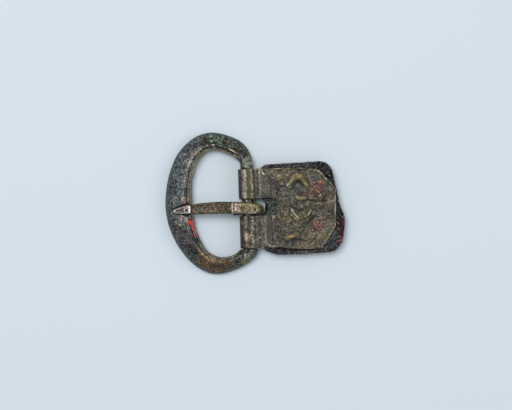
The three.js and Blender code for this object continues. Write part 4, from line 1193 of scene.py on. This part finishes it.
spin = put(scatter, "ShaderNodeVectorMath", {0: lean.outputs["Value"], 1: (0.5, 0.5, 0.5)},
           operation="SUBTRACT")
spin = put(scatter, "ShaderNodeVectorMath", {0: spin.outputs[0], "Scale": given["Lean"]},
           operation="SCALE")
turned = put(scatter, "FunctionNodeRotateEuler",
             {"Rotation": spread.outputs["Rotation"], "Rotate By": spin.outputs[0]}, space="LOCAL")
size = put(scatter, "FunctionNodeRandomValue",
           {2: given["Smallest"], 3: given["Largest"], "Seed": given["Seed"]}, data_type="FLOAT")
repeat_shape(scatter, given, out, {"Points": spread.outputs["Points"], "Rotation": turned.outputs[0],
                                   "Scale": size.outputs[1]})

# %% The loose fibres
# A fibre is thin and three-sided, bends, and is closed at both ends. Each ring: height, shift and radius
fibre_rings = [(-0.1, 0, 0.03), (0.12, 0.02, 0.026), (0.26, 0.08, 0.018), (0.36, 0.17, 0.008)]
fibre_points, fibre_faces = [], []
for i, (up, out_by, radius) in enumerate(fibre_rings):
    for k in range(3):
        turn = k / 3 * 2 * math.pi
        fibre_points.append((out_by + math.cos(turn) * radius, math.sin(turn) * radius, up))
        if i < 3:
            a, b = i * 3 + k, i * 3 + (k + 1) % 3
            fibre_faces.append((a, b, b + 3, a + 3))
fibre = source_shape("fibre", fibre_points, fibre_faces + [(2, 1, 0), (9, 10, 11)])
fibres = grown(leather, "loose_fibres", scatter, {
    "Shape": fibre, "Mark": "fray", "Threshold": 0.6, "Density": 1.6e7, "Smallest": 0.4, "Largest": 0.95,
    "Lean": 1.9, "Seed": 5, "Material": leather_finish})
bpy.data.objects.remove(fibre)
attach(fibres, "plate")
print("fibres:", len(fibres.data.polygons), "faces")

# %% [markdown]
# ## The rivets and their crust
# Three copper rivets hold the plate and the strap together. The inner one has a small rubbed head. The
# two outer heads are low and lie in patches of red corrosion, which is a crust of tiny grains. A rivet
# is a turned shape, so its outline is spun about its axis, and one geometry tree repeats it at the three
# places. The crust grains are scattered with the same tree as the fibres.

# %% The rivet's outline and the tree that repeats it
def turned_shape(name, outline, steps):
    """Spins an outline of (radius, height) about the Z axis. It starts and ends on the axis."""
    points = [(0, 0, outline[0][1])]
    for radius, up in outline[1:-1]:
        for k in range(steps):
            turn = k / steps * 2 * math.pi
            points.append((math.cos(turn) * radius, math.sin(turn) * radius, up))
    points.append((0, 0, outline[-1][1]))
    faces, last = [], len(points) - 1
    for k in range(steps):
        after = (k + 1) % steps
        faces.append((0, 1 + after, 1 + k))
        faces.append((last, last - steps + k, last - steps + after))
        for ring in range(len(outline) - 3):
            a = 1 + ring * steps
            faces.append((a + k, a + after, a + steps + after, a + steps + k))
    return source_shape(name, points, faces)


SHANK, HEAD_GAP, BURR, BURR_HEIGHT = 0.55, 0.03, 0.9, 0.15
RIVET_STEPS = 36


def rivet_shape(name, head, tall):
    low, top = LEAF_BOTTOM - HEAD_GAP, LEAF_TOP + HEAD_GAP
    burr = [(0, low - BURR_HEIGHT)] + [(BURR * math.sin(a), low - BURR_HEIGHT * math.cos(a) ** 0.6)
                                       for a in np.linspace(0.25, 1.5, 6)]
    shank = [(BURR, low), (SHANK, low), (SHANK, top), (head * 0.98, top)]
    crown = [(head * math.cos(a), top + tall * math.sin(a) ** 0.8) for a in np.linspace(0.04, 1.45, 9)]
    return turned_shape(name, burr + shank + crown + [(0, top + tall)], RIVET_STEPS)


rivet_tree, given, out = grow_tree("rivets at their places", [
    ("Shape", "Object", None), ("Turn", "Float", 0.0), ("Material", "Material", None)])
heading = put(rivet_tree, "ShaderNodeCombineXYZ", {"Z": given["Turn"]})
repeat_shape(rivet_tree, given, out, {"Points": given["Geometry"], "Rotation": heading.outputs[0]})

# %% The copper's finish
copper_finish, tree, shader, where = new_finish("corroded copper")
red = mottled(tree, where, (48, 32, 29), (94, 58, 49), (140, 88, 70), (198, 142, 110), (112, 80, 76),
              900, 2300, 0.7)
worn = mottled(tree, where, (36, 33, 29), (72, 66, 56), (106, 96, 80), (158, 146, 124))
brass = mottled(tree, where, (76, 68, 46), (118, 108, 78), (150, 140, 104), (204, 194, 150))
colour, _ = layered(tree, where, red, [("covered", worn, (1500, 0.6)), ("rubbed", brass, SOFT)])
finish_with(tree, shader, colour, height_of(red), 1.0, 0.55, 0.35)
print("copper finish:", len(tree.nodes), "nodes")

# %% Set the rivets
def rivets_at(name, nodes, head, tall, seed, rubbed):
    """Rivets at the places of those CAD nodes, with lumpy heads and the marks for the copper."""
    places = np.array([(px, py, 0) for node, px, py, _ in rivet_places if node in nodes])
    base = new_piece(name + "_places", places, [])
    source = rivet_shape(name + "_source", head, tall)
    piece = grown(base, name, rivet_tree, {"Shape": source, "Turn": 0.3, "Material": copper_finish})
    bpy.data.objects.remove(base)
    bpy.data.objects.remove(source)
    piece.data.shade_smooth()
    points, normals = shape_of(piece)
    lumps = noise(points, 0.5, seed, 2) * 0.05 + noise(points, 0.22, seed + 1, 1) * 0.02
    points += normals * (lumps * (points[:, 2] > LEAF_TOP + 0.08))[:, None]
    move_points(piece, points)
    off = np.min([np.hypot(points[:, 0] - px, points[:, 1] - py) for px, py, _ in places], axis=0) / head
    set_marks(piece, {"rubbed": np.full(len(points), rubbed),
                      "covered": eased(off + noise(points, 0.8, seed + 2, 2) * 0.6, 0.5, 1.0)})
    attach(piece, "plate")
    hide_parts(*nodes)
    print(name, len(piece.data.polygons), "faces")


rivets_at("inner_rivet", ["rivet_inner"], 0.8, 0.4, 81, 0.95)
rivets_at("outer_rivets", ["rivet_outer_upper", "rivet_outer_lower"], 1.2, 0.22, 83, 0.0)

# %% The corrosion crust
GRAIN_SIZE = (0.26, 0.2, 0.16)
girdle = [(math.cos(k * math.pi / 3) * 0.5, math.sin(k * math.pi / 3) * 0.5, 0.1) for k in range(6)]
grain_points = np.array([(0, 0, -0.5), *girdle, (0.12, -0.08, 0.42)])
grain_faces = [(0, 1 + (k + 1) % 6, 1 + k) for k in range(6)]
grain_faces += [(7, 1 + k, 1 + (k + 1) % 6) for k in range(6)]
grain = source_shape("grain", grain_points * GRAIN_SIZE, grain_faces)
crust = grown(plate, "copper_crust", scatter, {
    "Shape": grain, "Mark": "crust", "Threshold": 0.35, "Density": 4.2e6, "Smallest": 0.4, "Largest": 1.15,
    "Lean": 1.2, "Seed": 9, "Material": copper_finish})
bpy.data.objects.remove(grain)
nothing = np.zeros(len(crust.data.vertices))
set_marks(crust, {"rubbed": nothing, "covered": nothing})
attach(crust, "plate")
print("crust:", len(crust.data.polygons), "faces")

# %% [markdown]
# ## Floor, light and camera
# The buckle lies on a pale blue-white ground under soft light from above, and the camera looks straight
# down. A long lens from a short way off gives the small amount of perspective that the photograph has.

# %% The ground
FLOOR_REACH, FLOOR_DROP = 0.6, 0.00002
corners = [(-FLOOR_REACH, -FLOOR_REACH), (FLOOR_REACH, -FLOOR_REACH),
           (FLOOR_REACH, FLOOR_REACH), (-FLOOR_REACH, FLOOR_REACH)]
ground_mesh = bpy.data.meshes.new("ground")
ground_mesh.from_pydata([(x, y, -FLOOR_DROP) for x, y in corners], [], [(0, 1, 2, 3)])
ground = linked("ground", ground_mesh)
finish, tree, shader, _ = new_finish("pale ground")
fill(tree, shader, {"Base Color": tone(213, 224, 232), "Roughness": 0.9, "Specular IOR Level": 0.1})
ground_mesh.materials.append(finish)
print("ground:", 2 * FLOOR_REACH, "metres wide")

# %% The light
ROOM_COLOUR, ROOM_LIGHT = (0.93, 0.97, 1.0, 1), 0.4
world = bpy.data.worlds.new("soft room")
bpy.context.scene.world = world
world.use_nodes = True
fill(world.node_tree, world.node_tree.nodes["Background"], {"Color": ROOM_COLOUR, "Strength": ROOM_LIGHT})


def lamp(name, place, size, power):
    """A square lamp that is aimed at the origin."""
    light = bpy.data.lights.new(name, "AREA")
    light.shape, light.size, light.energy = "SQUARE", size, power
    holder = linked(name, light)
    holder.location = place
    holder.rotation_euler = (-holder.location.normalized()).to_track_quat("-Z", "Y").to_euler()


lamp("soft box above", (-0.14, 0.16, 0.58), 0.3, 2.25)
lamp("soft box at the right", (0.45, -0.05, 0.35), 0.3, 0.6)
print("lamps:", len(bpy.data.lights))

# %% The camera
FRAME_WIDTH, LENS, SENSOR = 0.10855, 85, 36
VIEW_X, VIEW_Y, VIEW_TURN = 0.296 * MM, -0.664 * MM, -2.0
MIDDLE_HEIGHT = 2.5 * MM
camera_data = bpy.data.cameras.new("camera")
camera_data.lens, camera_data.sensor_width = LENS, SENSOR
camera_data.clip_start, camera_data.clip_end = 0.01, 10
camera = linked("camera", camera_data)
camera.location = (VIEW_X, VIEW_Y, FRAME_WIDTH * LENS / SENSOR + MIDDLE_HEIGHT)
camera.rotation_euler = (0, 0, math.radians(VIEW_TURN))
bpy.context.scene.camera = camera
bpy.context.scene.view_settings.view_transform = "Standard"
print("camera height in millimetres:", round(camera.location.z / MM, 1))
